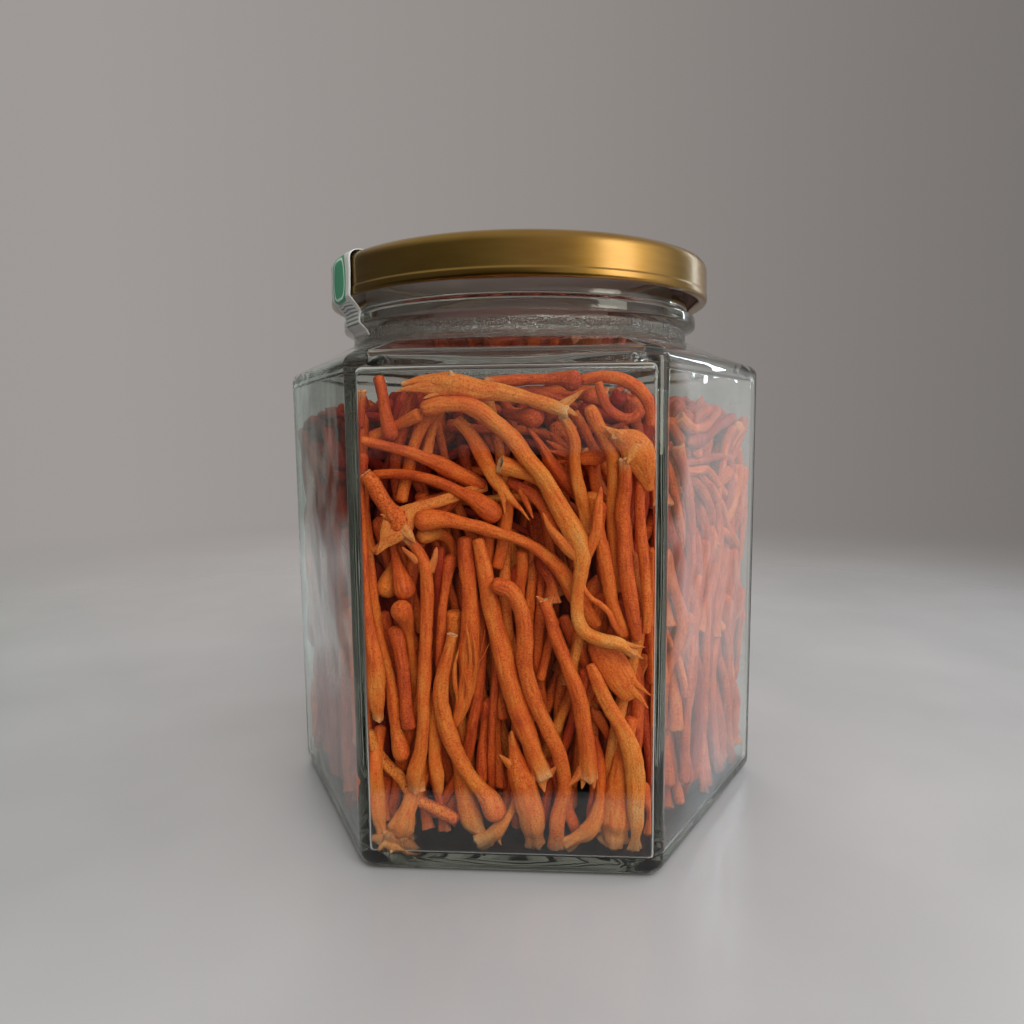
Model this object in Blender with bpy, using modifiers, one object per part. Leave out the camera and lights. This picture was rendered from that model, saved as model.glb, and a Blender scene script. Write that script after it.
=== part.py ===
"""Dried cordyceps fruit bodies packed in a six-sided glass jar with a twist-off lid and a paper seal.

Metres, +Z up. The origin is the middle of the jar's foot. A flat side of the jar faces -Y and its
corners lie on +X and -X. The stems that show through the front side are modelled one by one, and the
rest of the pile behind them is one solid of its outer shape.
"""
import bmesh
import bpy
import numpy as np
from mathutils import Matrix, Vector
from math import cos, pi, radians, sin, sqrt

MM = 0.001

# ---------------------------------------------------------------- driving dimensions, in millimetres
SIDE = 55.0                 # length of one side of the hexagon, measured at the sharp corners
APOTHEM = SIDE * sqrt(3) / 2
WALL = 2.3                  # thickness of the side walls
FLOOR = 3.0                 # thickness of the glass under the stems
EDGE_RADIUS = 3.5           # rounding of the six upright edges
SHOULDER_Z = 93.4           # where the flat sides end
NECK_Z = 100.6              # where the shoulder meets the neck
NECK_RADIUS = 37.8
BEAD_RADIUS = 39.9          # transfer bead below the lid
BEAD_Z = 105.2
MOUTH_RADIUS = 34.8
MOUTH_Z = 115.8             # top of the glass rim
LID_RADIUS = 42.4
LID_BOTTOM = 109.3
LID_TOP = 117.8
LID_SHEET = 0.5             # tinplate with its lacquer, drawn a little heavy
GAP = 0.3                   # space between pieces that touch
SEAL_WIDTH = 12.0
SEAL_SHEET = 0.16
SEAL_BEARING = radians(-145.5)   # where round the lid the paper seal sits
PILE_FRONT = -31.6          # the modelled stems lie in front of this plane, the rest of the pile behind
LID_STEPS = 36
STEM_SIDES = 6
EYE = Vector((10.5, -177.0, 82.0))   # the stems' routes are drawn as seen from here
DRAWN_AT = 2.5              # and against a plane this far behind the front glass
SMOOTH_BELOW = radians(40)  # faces that meet at a smaller angle than this are shaded as one surface


def material(name, colour, roughness, metallic=0.0, transmission=0.0):
    mat = bpy.data.materials.new(name)
    mat.use_nodes = True
    shader = mat.node_tree.nodes["Principled BSDF"]
    shader.inputs["Base Color"].default_value = (*colour, 1.0)
    shader.inputs["Roughness"].default_value = roughness
    shader.inputs["Metallic"].default_value = metallic
    shader.inputs["Transmission Weight"].default_value = transmission
    mat.diffuse_color = (*colour, 1.0)
    return mat


def add_object(name, mesh, mat, collection):
    mesh.materials.clear()
    mesh.materials.append(mat)
    obj = bpy.data.objects.new(name, mesh)
    collection.objects.link(obj)
    return obj


def mesh_from(bm, name):
    bmesh.ops.recalc_face_normals(bm, faces=bm.faces)
    mesh = bpy.data.meshes.new(name)
    bm.to_mesh(mesh)
    bm.free()
    mesh.shade_smooth()
    mesh.set_sharp_from_angle(angle=SMOOTH_BELOW)
    return mesh


def loft(name, rings, start, end):
    """A closed skin over rings of equally many points, closed by a fan to the start and end points."""
    bm = bmesh.new()
    rows = [[bm.verts.new(Vector(p) * MM) for p in ring] for ring in rings]
    count = len(rows[0])
    for low, high in zip(rows, rows[1:]):
        for i in range(count):
            j = (i + 1) % count
            bm.faces.new((low[i], low[j], high[j], high[i]))
    for row, point in ((rows[0], start), (rows[-1], end)):
        centre = bm.verts.new(Vector(point) * MM)
        for i in range(count):
            bm.faces.new((row[i], row[(i + 1) % count], centre))
    return mesh_from(bm, name)


# ---------------------------------------------------------------- jar: blown glass, hexagonal body
def plan_ring(apothem, rounding, z, roundness=0.0, radius=0.0):
    """One level of the jar: a hexagon with rounded corners, blended by roundness into a circle."""
    points = []
    corner_reach = (apothem - rounding) / cos(pi / 6)
    for k in range(6):
        corner = k * pi / 3
        next_corner = corner + pi / 3
        hexagon = []
        for turn in (-pi / 6, -pi / 18, pi / 18, pi / 6):
            hexagon.append((corner_reach * cos(corner) + rounding * cos(corner + turn),
                            corner_reach * sin(corner) + rounding * sin(corner + turn)))
        last = hexagon[-1]
        following = (corner_reach * cos(next_corner) + rounding * cos(next_corner - pi / 6),
                     corner_reach * sin(next_corner) + rounding * sin(next_corner - pi / 6))
        for share in (1 / 3, 2 / 3):
            hexagon.append((last[0] + share * (following[0] - last[0]),
                            last[1] + share * (following[1] - last[1])))
        for i, (x, y) in enumerate(hexagon):
            bearing = corner + radians(10) * (i - 1.5)
            points.append((x + roundness * (radius * cos(bearing) - x),
                           y + roundness * (radius * sin(bearing) - y), z))
    return points


def circle_ring(radius, z):
    return plan_ring(APOTHEM, EDGE_RADIUS, z, 1.0, radius)


def make_jar(mat, collection):
    inner = APOTHEM - WALL
    inner_rounding = EDGE_RADIUS - 0.5
    half_way = (SHOULDER_Z + NECK_Z) / 2
    rings = [
        circle_ring(34.0, 0.8),                                        # shallow punt under the jar
        plan_ring(38.5, 5.0, 0.0),
        plan_ring(APOTHEM - 1.9, EDGE_RADIUS, 0.0),                    # foot it stands on
        plan_ring(APOTHEM - 0.6, EDGE_RADIUS, 0.6),
        plan_ring(APOTHEM, EDGE_RADIUS, 2.1),
        plan_ring(APOTHEM, EDGE_RADIUS, SHOULDER_Z),
        plan_ring(APOTHEM - 0.4, EDGE_RADIUS + 0.5, SHOULDER_Z + 1.4),
        plan_ring(APOTHEM - 1.6, EDGE_RADIUS + 2.0, SHOULDER_Z + 2.5),
        plan_ring(APOTHEM - 3.5, EDGE_RADIUS + 5.0, half_way + 0.4, 0.45, 43.0),
        circle_ring(NECK_RADIUS + 1.3, NECK_Z - 0.8),
        circle_ring(NECK_RADIUS, NECK_Z + 0.5),
        circle_ring(NECK_RADIUS, BEAD_Z - 1.9),
        circle_ring(BEAD_RADIUS - 0.4, BEAD_Z - 1.0),
        circle_ring(BEAD_RADIUS, BEAD_Z),
        circle_ring(BEAD_RADIUS - 0.4, BEAD_Z + 1.0),
        circle_ring(NECK_RADIUS + 0.3, BEAD_Z + 2.2),
        circle_ring(NECK_RADIUS + 0.3, MOUTH_Z - 1.2),
        circle_ring(NECK_RADIUS - 0.5, MOUTH_Z - 0.2),
        circle_ring(MOUTH_RADIUS + 1.5, MOUTH_Z),
        circle_ring(MOUTH_RADIUS + 0.2, MOUTH_Z - 0.8),
        circle_ring(MOUTH_RADIUS, NECK_Z + 1.0),
        plan_ring(inner - 3.0, inner_rounding + 4.0, half_way - 0.8, 0.5, 40.0),
        plan_ring(inner - 0.9, inner_rounding + 1.0, SHOULDER_Z + 0.2),
        plan_ring(inner, inner_rounding, SHOULDER_Z - 2.2),
        plan_ring(inner, inner_rounding, FLOOR + 3.0),
        plan_ring(inner - 0.7, inner_rounding, FLOOR + 1.1),
        plan_ring(inner - 2.6, inner_rounding, FLOOR),
    ]
    mesh = loft("jar", rings, (0, 0, 1.0), (0, 0, FLOOR + 0.5))
    return add_object("jar", mesh, mat, collection)


# ---------------------------------------------------------------- lid: drawn tinplate, curled rim
def turned(name, profile, mat, collection, closed):
    """A ring or cap turned about +Z from (radius, height) points, outer side from top to bottom."""
    bm = bmesh.new()
    verts = [bm.verts.new((r * MM, 0.0, z * MM)) for r, z in profile]
    for a, b in zip(verts, verts[1:]):
        bm.edges.new((a, b))
    if closed:
        bm.edges.new((verts[-1], verts[0]))
    mesh = bpy.data.meshes.new(name)
    bm.to_mesh(mesh)
    bm.free()
    obj = add_object(name, mesh, mat, collection)
    screw = obj.modifiers.new("turn", "SCREW")
    screw.steps = LID_STEPS
    screw.render_steps = LID_STEPS
    screw.use_merge_vertices = True
    screw.merge_threshold = 1e-5
    screw.use_smooth_shade = True
    return obj


def make_lid(mat, collection):
    panel_z = LID_TOP - 0.9                # the middle of the top is sunk below its rim
    skirt = LID_RADIUS - 0.2
    profile = [
        (0.0, panel_z),
        (32.6, panel_z),
        (34.6, LID_TOP),
        (39.6, LID_TOP),
        (41.4, LID_TOP - 0.5),
        (skirt, LID_TOP - 1.7),
        (skirt, LID_BOTTOM + 2.0),
        (LID_RADIUS, LID_BOTTOM + 1.0),    # outward roll of the curled rim
        (skirt, LID_BOTTOM + 0.2),
        (LID_RADIUS - 1.1, LID_BOTTOM),
        (LID_RADIUS - 1.6, LID_BOTTOM + 0.7),
        (skirt - LID_SHEET, LID_BOTTOM + 1.9),
        (skirt - LID_SHEET, LID_TOP - 1.9),
        (40.9, LID_TOP - 0.5 - LID_SHEET),
        (39.4, LID_TOP - LID_SHEET),
        (34.8, LID_TOP - LID_SHEET),
        (32.8, panel_z - LID_SHEET),
        (0.0, panel_z - LID_SHEET),
    ]
    return turned("lid", profile, mat, collection, closed=False)


def make_liner(mat, collection):
    """The soft sealing ring inside the lid, which sits over the glass rim."""
    top = LID_TOP - LID_SHEET - GAP
    profile = [(39.2, top), (39.2, MOUTH_Z + GAP), (35.2, MOUTH_Z + GAP), (35.2, top)]
    return turned("lid_liner", profile, mat, collection, closed=True)


# ---------------------------------------------------------------- seal: paper strip over lid and neck
def make_seal(mat, collection):
    """The strip is glued flat on the lid's top, goes over its side and is pulled in to the neck."""
    off = GAP + SEAL_SHEET / 2
    route = [
        (20.0, LID_TOP - 0.9 + off), (30.5, LID_TOP - 0.9 + off), (34.4, LID_TOP + off),
        (39.8, LID_TOP + off), (41.8, LID_TOP - 0.3 + off), (LID_RADIUS + off, LID_TOP - 1.6),
        (LID_RADIUS + off, LID_BOTTOM + 1.0), (LID_RADIUS + off - 0.2, LID_BOTTOM - 0.1),
        (41.3, LID_BOTTOM - 1.9), (BEAD_RADIUS + off, BEAD_Z + 0.9), (BEAD_RADIUS + off, BEAD_Z - 0.4),
        (NECK_RADIUS + 1.0 + off, BEAD_Z - 2.0), (NECK_RADIUS + off, BEAD_Z - 3.2),
    ]
    bm = bmesh.new()
    turn = Matrix.Rotation(SEAL_BEARING, 3, "Z")
    rows = []
    for reach, z in route:
        row = []
        for share in (-0.5, -0.25, 0.0, 0.25, 0.5):
            across = share * SEAL_WIDTH
            sag = LID_RADIUS - sqrt(LID_RADIUS ** 2 - across ** 2)
            row.append(bm.verts.new(turn @ Vector((reach - sag, across, z)) * MM))
        rows.append(row)
    for low, high in zip(rows, rows[1:]):
        for i in range(len(low) - 1):
            bm.faces.new((low[i], high[i], high[i + 1], low[i + 1]))
    obj = add_object("seal_strip", mesh_from(bm, "seal_strip"), mat, collection)
    solid = obj.modifiers.new("sheet", "SOLIDIFY")
    solid.thickness = SEAL_SHEET * MM
    solid.offset = 0.0
    return obj


# ---------------------------------------------------------------- stems behind the front side
# Each route runs from the stem's head to its foot. A point is (x, z, half thickness), as seen against the
# front glass by an eye at EYE, and the two depths say how far behind the glass the head and the foot lie.
STEMS = {
    "stem_top_log": (2.7, 2.7, [
        (-18.3, 90.3, 0.5), (-14.5, 90.9, 1.2), (-9.5, 90.5, 2.0), (-4, 90, 1.9), (2, 89.4, 1.6),
        (7, 88.6, 1.4), (11, 87.6, 1.2)]),
    "stem_forked": (2.6, 2.4, [
        (-14, 86.4, 1.5), (-10.5, 87.5, 1.7), (-6.5, 86.9, 1.8), (-3, 84.8, 1.8), (0.5, 81.6, 1.7),
        (3.8, 77.3, 1.7), (7, 73, 1.7), (9.5, 68.3, 1.8), (11.8, 64.2, 2.0), (13.5, 60.3, 1.9),
        (13.3, 56, 1.4), (12.8, 51.8, 1.3), (12.8, 48, 1.3), (14.2, 45.4, 1.4), (17.5, 43.9, 1.4),
        (20.5, 43.2, 1.3), (22.9, 41.4, 0.8)]),
    "stem_fork_arm": (2.4, 3.0, [
        (16.9, 71.3, 0.4), (16.6, 68, 0.8), (16.3, 64.6, 0.9)]),
    "stem_fork_curl": (2.0, 2.0, [
        (20.2, 45.6, 0.4), (19.3, 47, 0.5), (18.5, 48.9, 0.55), (16.9, 50.6, 0.55), (15.3, 51.7, 0.5)]),
    "stem_pale_tip": (3.4, 6.5, [
        (10.2, 84.6, 0.8), (11.4, 82.6, 1.0), (12.4, 80, 1.1), (12.3, 77, 1.1), (12.5, 74, 1.1),
        (13.1, 71, 1.2), (13.8, 68, 1.1)]),
    "stem_taper": (3.4, 6.5, [
        (2.7, 67.9, 0.35), (0.5, 70.2, 0.7), (-1.6, 73, 1.1), (-3, 75.5, 1.2), (-4.6, 78.5, 1.4),
        (-6.4, 81.5, 1.2), (-8.6, 84, 1.0)]),
    "stem_left_upper": (8.0, 3.6, [
        (-4.8, 72.4, 1.3), (-8, 74, 1.5), (-11.3, 75.6, 1.6), (-13.7, 76.9, 1.2), (-17, 78.3, 0.95),
        (-21, 79.3, 0.9), (-26, 80.5, 0.9)]),
    "stem_left_club": (4.0, 5.5, [
        (-3, 67.2, 1.95), (-5.5, 69.2, 1.6), (-8.5, 71, 1.2), (-12, 72.8, 1.1), (-16, 74, 1.0),
        (-20, 74.5, 0.9), (-24, 74.5, 0.8)]),
    "stem_cut_left": (2.6, 3.0, [
        (-26.2, 74.6, 1.0), (-24.8, 73, 1.2), (-23.2, 70.5, 1.3), (-21.5, 68, 1.3), (-19.7, 65.8, 1.7),
        (-21.8, 62.7, 0.9), (-24.2, 60.7, 0.5)]),
    "stem_left_inner": (9.5, 6.0, [
        (-8, 71.2, 0.9), (-11.5, 70.4, 0.9), (-15, 69.4, 0.9), (-17.1, 68.4, 0.8)]),
    "stem_long_club": (2.6, 6.5, [
        (-15.2, 66, 1.8), (-11.5, 66.2, 1.6), (-7.5, 65.3, 1.3), (-3.5, 64.3, 1.2), (0.5, 63.1, 1.1),
        (4, 61.6, 1.1), (7, 59.6, 1.3), (9.7, 56.8, 1.6), (11.7, 53, 1.6), (14, 49.3, 1.5),
        (16.2, 46.8, 1.2)]),
    "stem_hanging_club": (5.5, 6.5, [
        (-21.8, 82, 1.35), (-21.9, 85, 1.2), (-22, 88.5, 1.1), (-22.2, 91.8, 1.0)]),
    "stem_left_slant": (7.0, 9.5, [
        (-16.6, 89, 1.0), (-17.6, 86, 1.15), (-18.8, 82.5, 1.1), (-19.8, 79, 1.0), (-20.2, 74.5, 0.95),
        (-19.9, 70, 0.8)]),
    "stem_left_rear": (10.5, 11.5, [
        (-15.9, 88.2, 1.2), (-15.3, 84, 1.3), (-15.4, 80, 1.2), (-15.8, 75.5, 1.1)]),
    "stem_corner_left": (2.5, 3.5, [
        (-26, 89.3, 0.8), (-26.6, 86.3, 0.9), (-26.6, 83.2, 0.8)]),
    "stem_edge_left": (2.6, 2.6, [
        (-26.6, 77.3, 1.1), (-27, 73, 0.8), (-27.2, 67, 0.7), (-27.1, 60, 0.8), (-27, 53, 0.8),
        (-26.8, 46, 1.1), (-26.3, 40, 1.6), (-25.8, 35.5, 1.8), (-25.2, 31.5, 1.5), (-24.8, 28.6, 0.9)]),
    "stem_cut_middle": (4.2, 7.5, [
        (-0.5, 76.5, 1.35), (2, 75.6, 1.35), (5, 74.3, 1.2), (8.2, 72, 1.1)]),
    "stem_under_fork": (5.0, 3.2, [
        (0.5, 73.0, 0.8), (4, 70.9, 0.95), (6.4, 68.4, 0.95), (7.9, 65.2, 0.9), (9.3, 62.2, 0.8)]),
    "stem_bright": (5.0, 9.5, [
        (4.4, 82.3, 0.4), (6, 80, 0.6), (7.3, 77.9, 1.0), (8.9, 75.4, 1.3), (10.9, 72.7, 1.3),
        (13, 70.3, 1.1)]),
    "stem_end_on": (4.5, 9.5, [
        (5, 84.4, 1.8), (2.8, 84.7, 1.4), (0.2, 85.2, 1.1)]),
    "stem_right_bent": (3.0, 4.4, [
        (15.2, 85.4, 1.1), (16.4, 83, 1.3), (18, 80.4, 1.35), (19.1, 77.4, 1.3), (19.2, 72.8, 1.15),
        (19.1, 67.5, 1.1), (19.2, 62, 1.1), (19.6, 57, 1.1), (20.1, 53, 1.0)]),
    "stem_right_straight": (2.8, 4.0, [
        (21.1, 76.4, 0.85), (21.2, 72, 1.0), (20.9, 67, 1.0), (21.0, 62, 1.0), (21.4, 57, 1.05),
        (22.2, 52, 1.05), (23, 47.5, 0.9), (23.5, 44.4, 0.7)]),
    "stem_dried_base": (2.4, 3.0, [
        (19.4, 81.2, 0.8), (21.8, 80.3, 1.4), (24, 78.9, 1.6), (25.6, 76.6, 1.4), (25.8, 74.4, 0.9)]),
    "stem_arch": (5.8, 4.6, [
        (14, 91, 1.0), (17.4, 91.3, 1.1), (20.6, 90.8, 1.1), (23.5, 89.2, 1.15), (25.4, 86.5, 1.15),
        (25.9, 83, 1.0)]),
    "stem_top_club": (5.5, 7.0, [
        (10.9, 91.5, 1.15), (8, 92, 1.05), (4, 92.3, 1.0), (0.3, 92.4, 0.9)]),
    "stem_loop": (2.6, 4.6, [
        (16.5, 90.2, 0.7), (17.2, 87.8, 0.85), (18.3, 85.7, 0.85), (20.3, 84.3, 0.85), (22.4, 84, 0.85),
        (24, 85.3, 0.8)]),
    "stem_right_edge": (3.6, 4.4, [
        (24, 72.6, 0.9), (23.8, 68.5, 1.0), (24, 64, 0.95), (24.6, 59, 0.95), (25, 54, 0.9),
        (25.2, 49, 0.9), (25.1, 45.6, 0.8)]),
    "stem_right_front": (3.2, 4.4, [
        (17.2, 68.3, 1.0), (16.9, 64.3, 1.1), (17.6, 60, 1.2), (18.5, 55.5, 1.3), (19.1, 51, 1.25),
        (20.2, 47.5, 1.15), (21, 45, 1.0)]),
    "stem_middle_short": (6.5, 8.5, [
        (2.7, 60, 1.0), (2.6, 56, 1.0), (2.2, 52.5, 1.0), (2.4, 48.5, 1.0)]),
    "stem_bow": (3.0, 3.0, [
        (-1.7, 54.2, 1.3), (0.3, 53.3, 1.5), (1.9, 50.7, 1.6), (2.8, 47.3, 1.5), (3, 43.5, 1.5),
        (2.9, 40, 1.4), (3.3, 37, 1.3), (4.3, 33.5, 1.35), (5.9, 29.5, 1.4), (7.6, 26, 1.4),
        (9.1, 22.5, 1.4), (10, 19, 1.3), (10.2, 15.8, 1.3), (9.5, 12.5, 1.4), (8.7, 9, 1.5),
        (8.6, 6.2, 1.3)]),
    "stem_thick": (4.0, 2.8, [
        (-5.3, 62.3, 1.1), (-4.3, 57.5, 1.3), (-3.6, 53.5, 1.35), (-2.9, 49.5, 1.5), (-1.8, 45, 1.6),
        (-0.7, 40.5, 1.7), (0.4, 36, 1.8), (1.7, 31, 1.85), (3.1, 26.2, 1.85), (4.7, 21.8, 1.7),
        (6.1, 18.3, 1.5)]),
    "stem_ribbed": (4.8, 4.0, [
        (-7.6, 62.3, 1.2), (-7.3, 57.5, 1.3), (-7.1, 52, 1.35), (-7.1, 46, 1.5), (-7.3, 41, 1.6),
        (-7.8, 36.5, 1.5), (-8.8, 32, 1.3), (-9.7, 28.4, 0.9)]),
    "stem_low_club": (2.5, 3.2, [
        (-2.9, 10.7, 1.85), (-4.3, 13.2, 1.7), (-6.5, 16, 1.5), (-8.5, 19, 1.45), (-10.2, 22.3, 1.45),
        (-11.6, 26, 1.45), (-12.5, 30, 1.35), (-12.7, 34, 1.3), (-12.1, 38, 1.2), (-11.2, 41.6, 1.1),
        (-10.4, 44.6, 1.0)]),
    "stem_split_top": (3.4, 2.6, [
        (-18.4, 62.6, 0.8), (-16.8, 61, 0.95), (-15.4, 58.3, 1.1), (-14.9, 54.5, 1.15), (-15, 50, 1.15),
        (-15.3, 45, 1.1), (-15.6, 40, 1.1), (-15.8, 35, 1.1), (-15.9, 30, 1.1), (-16.2, 25.5, 1.2),
        (-16.8, 21, 1.35), (-17.6, 17.4, 1.55), (-17.7, 14.6, 1.0)]),
    "stem_club_upper": (3.0, 6.5, [
        (-19.3, 52.8, 1.85), (-19.9, 55.6, 1.45), (-20.6, 58.3, 1.0), (-21, 60.6, 0.8)]),
    "stem_club_outer": (4.6, 10.0, [
        (-23.2, 53, 1.85), (-22.3, 55.2, 1.4), (-21.3, 57.6, 0.9), (-20.4, 60, 0.8)]),
    "stem_club_facing": (2.8, 8.5, [
        (-19.6, 49.4, 1.9), (-18.9, 47.4, 1.4), (-18.3, 44.8, 1.0), (-17.9, 40, 0.95), (-17.7, 34, 0.9),
        (-17.8, 28, 0.9)]),
    "stem_upper_bump": (4.8, 10.5, [
        (-15, 63.3, 1.5), (-12.8, 63.6, 1.2), (-10.6, 62.2, 1.1), (-9.8, 58, 1.0)]),
    "stem_left_drop": (3.0, 4.0, [
        (-20.5, 21.8, 1.55), (-21.2, 25, 1.3), (-22, 29, 1.2), (-22.8, 34, 1.15), (-23.7, 39, 1.1),
        (-24.6, 44, 1.05), (-25.2, 49.5, 0.95), (-25.6, 55.5, 0.9), (-25.8, 60, 0.8)]),
    "stem_left_second": (7.2, 6.5, [
        (-23.2, 48.4, 1.1), (-22.4, 43, 1.25), (-21.5, 38, 1.25), (-20.9, 33, 1.2), (-20.7, 28.5, 1.0)]),
    "stem_shadow_left": (8.0, 9.0, [
        (-12.3, 61, 1.15), (-12.5, 56, 1.2), (-12.4, 50, 1.15), (-12.8, 44.5, 1.1), (-13.4, 39.5, 1.0)]),
    "stem_behind_club": (7.5, 6.5, [
        (0.4, 69.3, 0.95), (0, 66, 1.0), (-0.9, 61.5, 1.1), (-1.8, 57.6, 1.1)]),
    "stem_ragged_foot": (3.6, 2.8, [
        (6.6, 51.2, 1.05), (7.6, 48.2, 1.1), (9, 44.3, 1.15), (10.5, 40.4, 1.2), (12, 36.2, 1.3),
        (13.1, 32.5, 1.4), (13.9, 28.5, 1.5), (14.6, 24.5, 1.65), (14.8, 20.8, 1.7), (14.7, 18, 1.4)]),
    "stem_right_second": (7.0, 8.5, [
        (10.3, 48, 0.9), (12, 44, 1.1), (13.6, 40.5, 1.1), (15, 37.3, 1.0)]),
    "stem_broad_leaf": (4.0, 4.0, [
        (16.6, 42.6, 1.5), (18.4, 39.6, 2.1), (20.5, 36.4, 2.1), (22.3, 33.9, 1.4)]),
    "stem_right_foot": (3.4, 2.8, [
        (15.1, 39, 0.8), (16.6, 35.4, 1.15), (18.4, 31.5, 1.3), (20.3, 28.2, 1.45), (22, 24.8, 1.6),
        (23.1, 20.8, 1.7), (23.5, 16.5, 1.7), (23.5, 12, 1.6), (23.7, 8.5, 1.3), (23.5, 5.8, 0.8)]),
    "stem_wide_foot": (5.2, 5.0, [
        (20.6, 18, 1.4), (20.2, 13, 1.9), (19.8, 8.8, 2.0), (19.6, 5.8, 1.5)]),
    "stem_turned_foot": (5.4, 3.6, [
        (17, 16, 1.0), (16.8, 12.3, 1.15), (15.8, 8.8, 1.3), (14, 6.1, 1.4), (12.6, 5, 1.0)]),
    "stem_heavy_foot": (2.8, 3.0, [
        (0.4, 25, 0.6), (0.9, 22, 1.05), (1.7, 18.3, 1.8), (3, 14.3, 2.1), (4, 10.6, 2.1), (4.3, 7, 1.8),
        (4.5, 5, 1.2)]),
    "stem_low_slant": (4.6, 4.2, [
        (-26.6, 25.4, 1.15), (-25.4, 22, 1.15), (-23.2, 19.2, 1.1), (-20.8, 16.8, 1.1),
        (-18.5, 13.2, 1.0), (-15.9, 11.6, 1.1), (-13, 10.2, 1.15), (-10.4, 9, 1.0)]),
    "stem_pale_foot": (5.6, 4.2, [
        (-9.3, 18, 1.1), (-8.8, 14.5, 1.5), (-8, 11, 1.7), (-6.8, 8, 1.6), (-5.6, 5.9, 0.9)]),
    "stem_pointed_foot": (4.2, 3.4, [
        (-14.3, 28, 0.8), (-14.4, 24, 1.05), (-14.2, 20, 1.25), (-13.7, 17, 1.35), (-13.5, 14.9, 0.9)]),
    "stem_corner_foot": (4.0, 3.4, [
        (-25.6, 18.6, 1.1), (-25.8, 14, 1.3), (-25.5, 9.8, 1.3), (-24.9, 6.8, 0.8)]),
    "stem_low_pink": (3.4, 3.2, [
        (-19.4, 11, 0.85), (-20.2, 8.6, 1.05), (-21, 6.2, 1.1), (-21.6, 4.9, 0.9)]),
    "stem_frayed_foot": (3.4, 3.0, [
        (-0.6, 9, 0.8), (-1.7, 7.4, 1.2), (-2.8, 5.9, 1.4), (-3.6, 5, 1.2)]),
}
HEAD_DOME = 0.8             # how far a head's rounding reaches past its last ring, in half thicknesses
FOOT_DOME = 0.35
FRONT_GLASS = -(APOTHEM - WALL)
SETTLE_ROUNDS = 700         # rounds in which stems that cut through each other are moved apart
CALM_PART = 0.75            # part of the rounds in which a stem is also drawn back to its route
DRAWN_BACK = 0.06           # share of the way back that it goes in one of them
CLEARANCE = 0.42            # space kept between two stems
LONGEST_MOVE = 0.8          # in one round
STIFFNESS = (0.30, 1.0, 0.30)     # share of a push taken in x, in depth and in height


def laid_out(route, head_depth, foot_depth):
    """The route's points in the jar: each is moved out along the line of sight to its own depth."""
    points = []
    for i, (x, z, _) in enumerate(route):
        y = FRONT_GLASS + head_depth + (foot_depth - head_depth) * i / (len(route) - 1)
        reach = (y - EYE.y) / (FRONT_GLASS + DRAWN_AT - EYE.y)
        points.append((EYE.x + reach * (x - EYE.x), y, EYE.z + reach * (z - EYE.z)))
    return points


def nearest_on_pair(a0, a1, b0, b1):
    """Shares along two sets of line pieces where each pair comes closest."""
    u, v, w = a1 - a0, b1 - b0, a0 - b0
    uu, uv, vv = (u * u).sum(1), (u * v).sum(1), (v * v).sum(1)
    uw, vw = (u * w).sum(1), (v * w).sum(1)
    spread = np.maximum(uu * vv - uv * uv, 1e-9)
    s = np.clip((uv * vw - vv * uw) / spread, 0, 1)
    t = np.clip((uv * s + vw) / vv, 0, 1)
    s = np.clip((uv * t - uw) / uu, 0, 1)
    return s, t


def settle(points, girths, owner):
    """Moves stems that would cut through each other apart, mostly in depth, and keeps them in the jar."""
    home = points.copy()
    first = np.nonzero(owner[:-1] == owner[1:])[0]
    pair_a, pair_b = np.triu_indices(len(first), 1)
    other = owner[first[pair_a]] != owner[first[pair_b]]
    pair_a, pair_b = first[pair_a[other]], first[pair_b[other]]
    walls = [(sin(k * pi / 3), -cos(k * pi / 3)) for k in (-1, 0, 1)]
    stiff = np.array(STIFFNESS)
    for turn in range(SETTLE_ROUNDS):
        calm = DRAWN_BACK if turn < SETTLE_ROUNDS * CALM_PART else 0.0
        points += calm * (home - points) * np.array([1.0, 0.25, 1.0])
        shift = points - home
        blended = shift.copy()
        inside = np.nonzero((owner[:-2] == owner[1:-1]) & (owner[1:-1] == owner[2:]))[0] + 1
        blended[inside] = 0.5 * shift[inside] + 0.25 * (shift[inside - 1] + shift[inside + 1])
        if calm:
            points = home + blended
        s, t = nearest_on_pair(points[pair_a], points[pair_a + 1], points[pair_b], points[pair_b + 1])
        on_a = points[pair_a] + s[:, None] * (points[pair_a + 1] - points[pair_a])
        on_b = points[pair_b] + t[:, None] * (points[pair_b + 1] - points[pair_b])
        need = CLEARANCE + np.maximum(girths[pair_a] * (1 - s) + girths[pair_a + 1] * s, 0)
        need = need + girths[pair_b] * (1 - t) + girths[pair_b + 1] * t
        apart = on_a - on_b
        distance = np.linalg.norm(apart, axis=1)
        touching = distance < need
        way = apart[touching] / np.maximum(distance[touching], 1e-6)[:, None]
        push = way * stiff * (0.5 * (need[touching] - distance[touching]))[:, None]
        s, t = s[touching][:, None], t[touching][:, None]
        a, b = pair_a[touching], pair_b[touching]
        move = np.zeros_like(points)
        np.add.at(move, a, push * (1 - s))
        np.add.at(move, a + 1, push * s)
        np.add.at(move, b, -push * (1 - t))
        np.add.at(move, b + 1, -push * t)
        points += np.clip(move, -LONGEST_MOVE, LONGEST_MOVE)
        for nx, ny in walls:
            past = points[:, 0] * nx + points[:, 1] * ny + girths + GAP - (APOTHEM - WALL)
            past = np.maximum(past, 0)
            points[:, 0] -= past * nx
            points[:, 1] -= past * ny
        points[:, 1] = np.minimum(points[:, 1], PILE_FRONT - GAP - girths)
        points[:, 2] = np.clip(points[:, 2], FLOOR + 1.2 + girths, SHOULDER_Z - 0.4 - girths)
    return points


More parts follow.
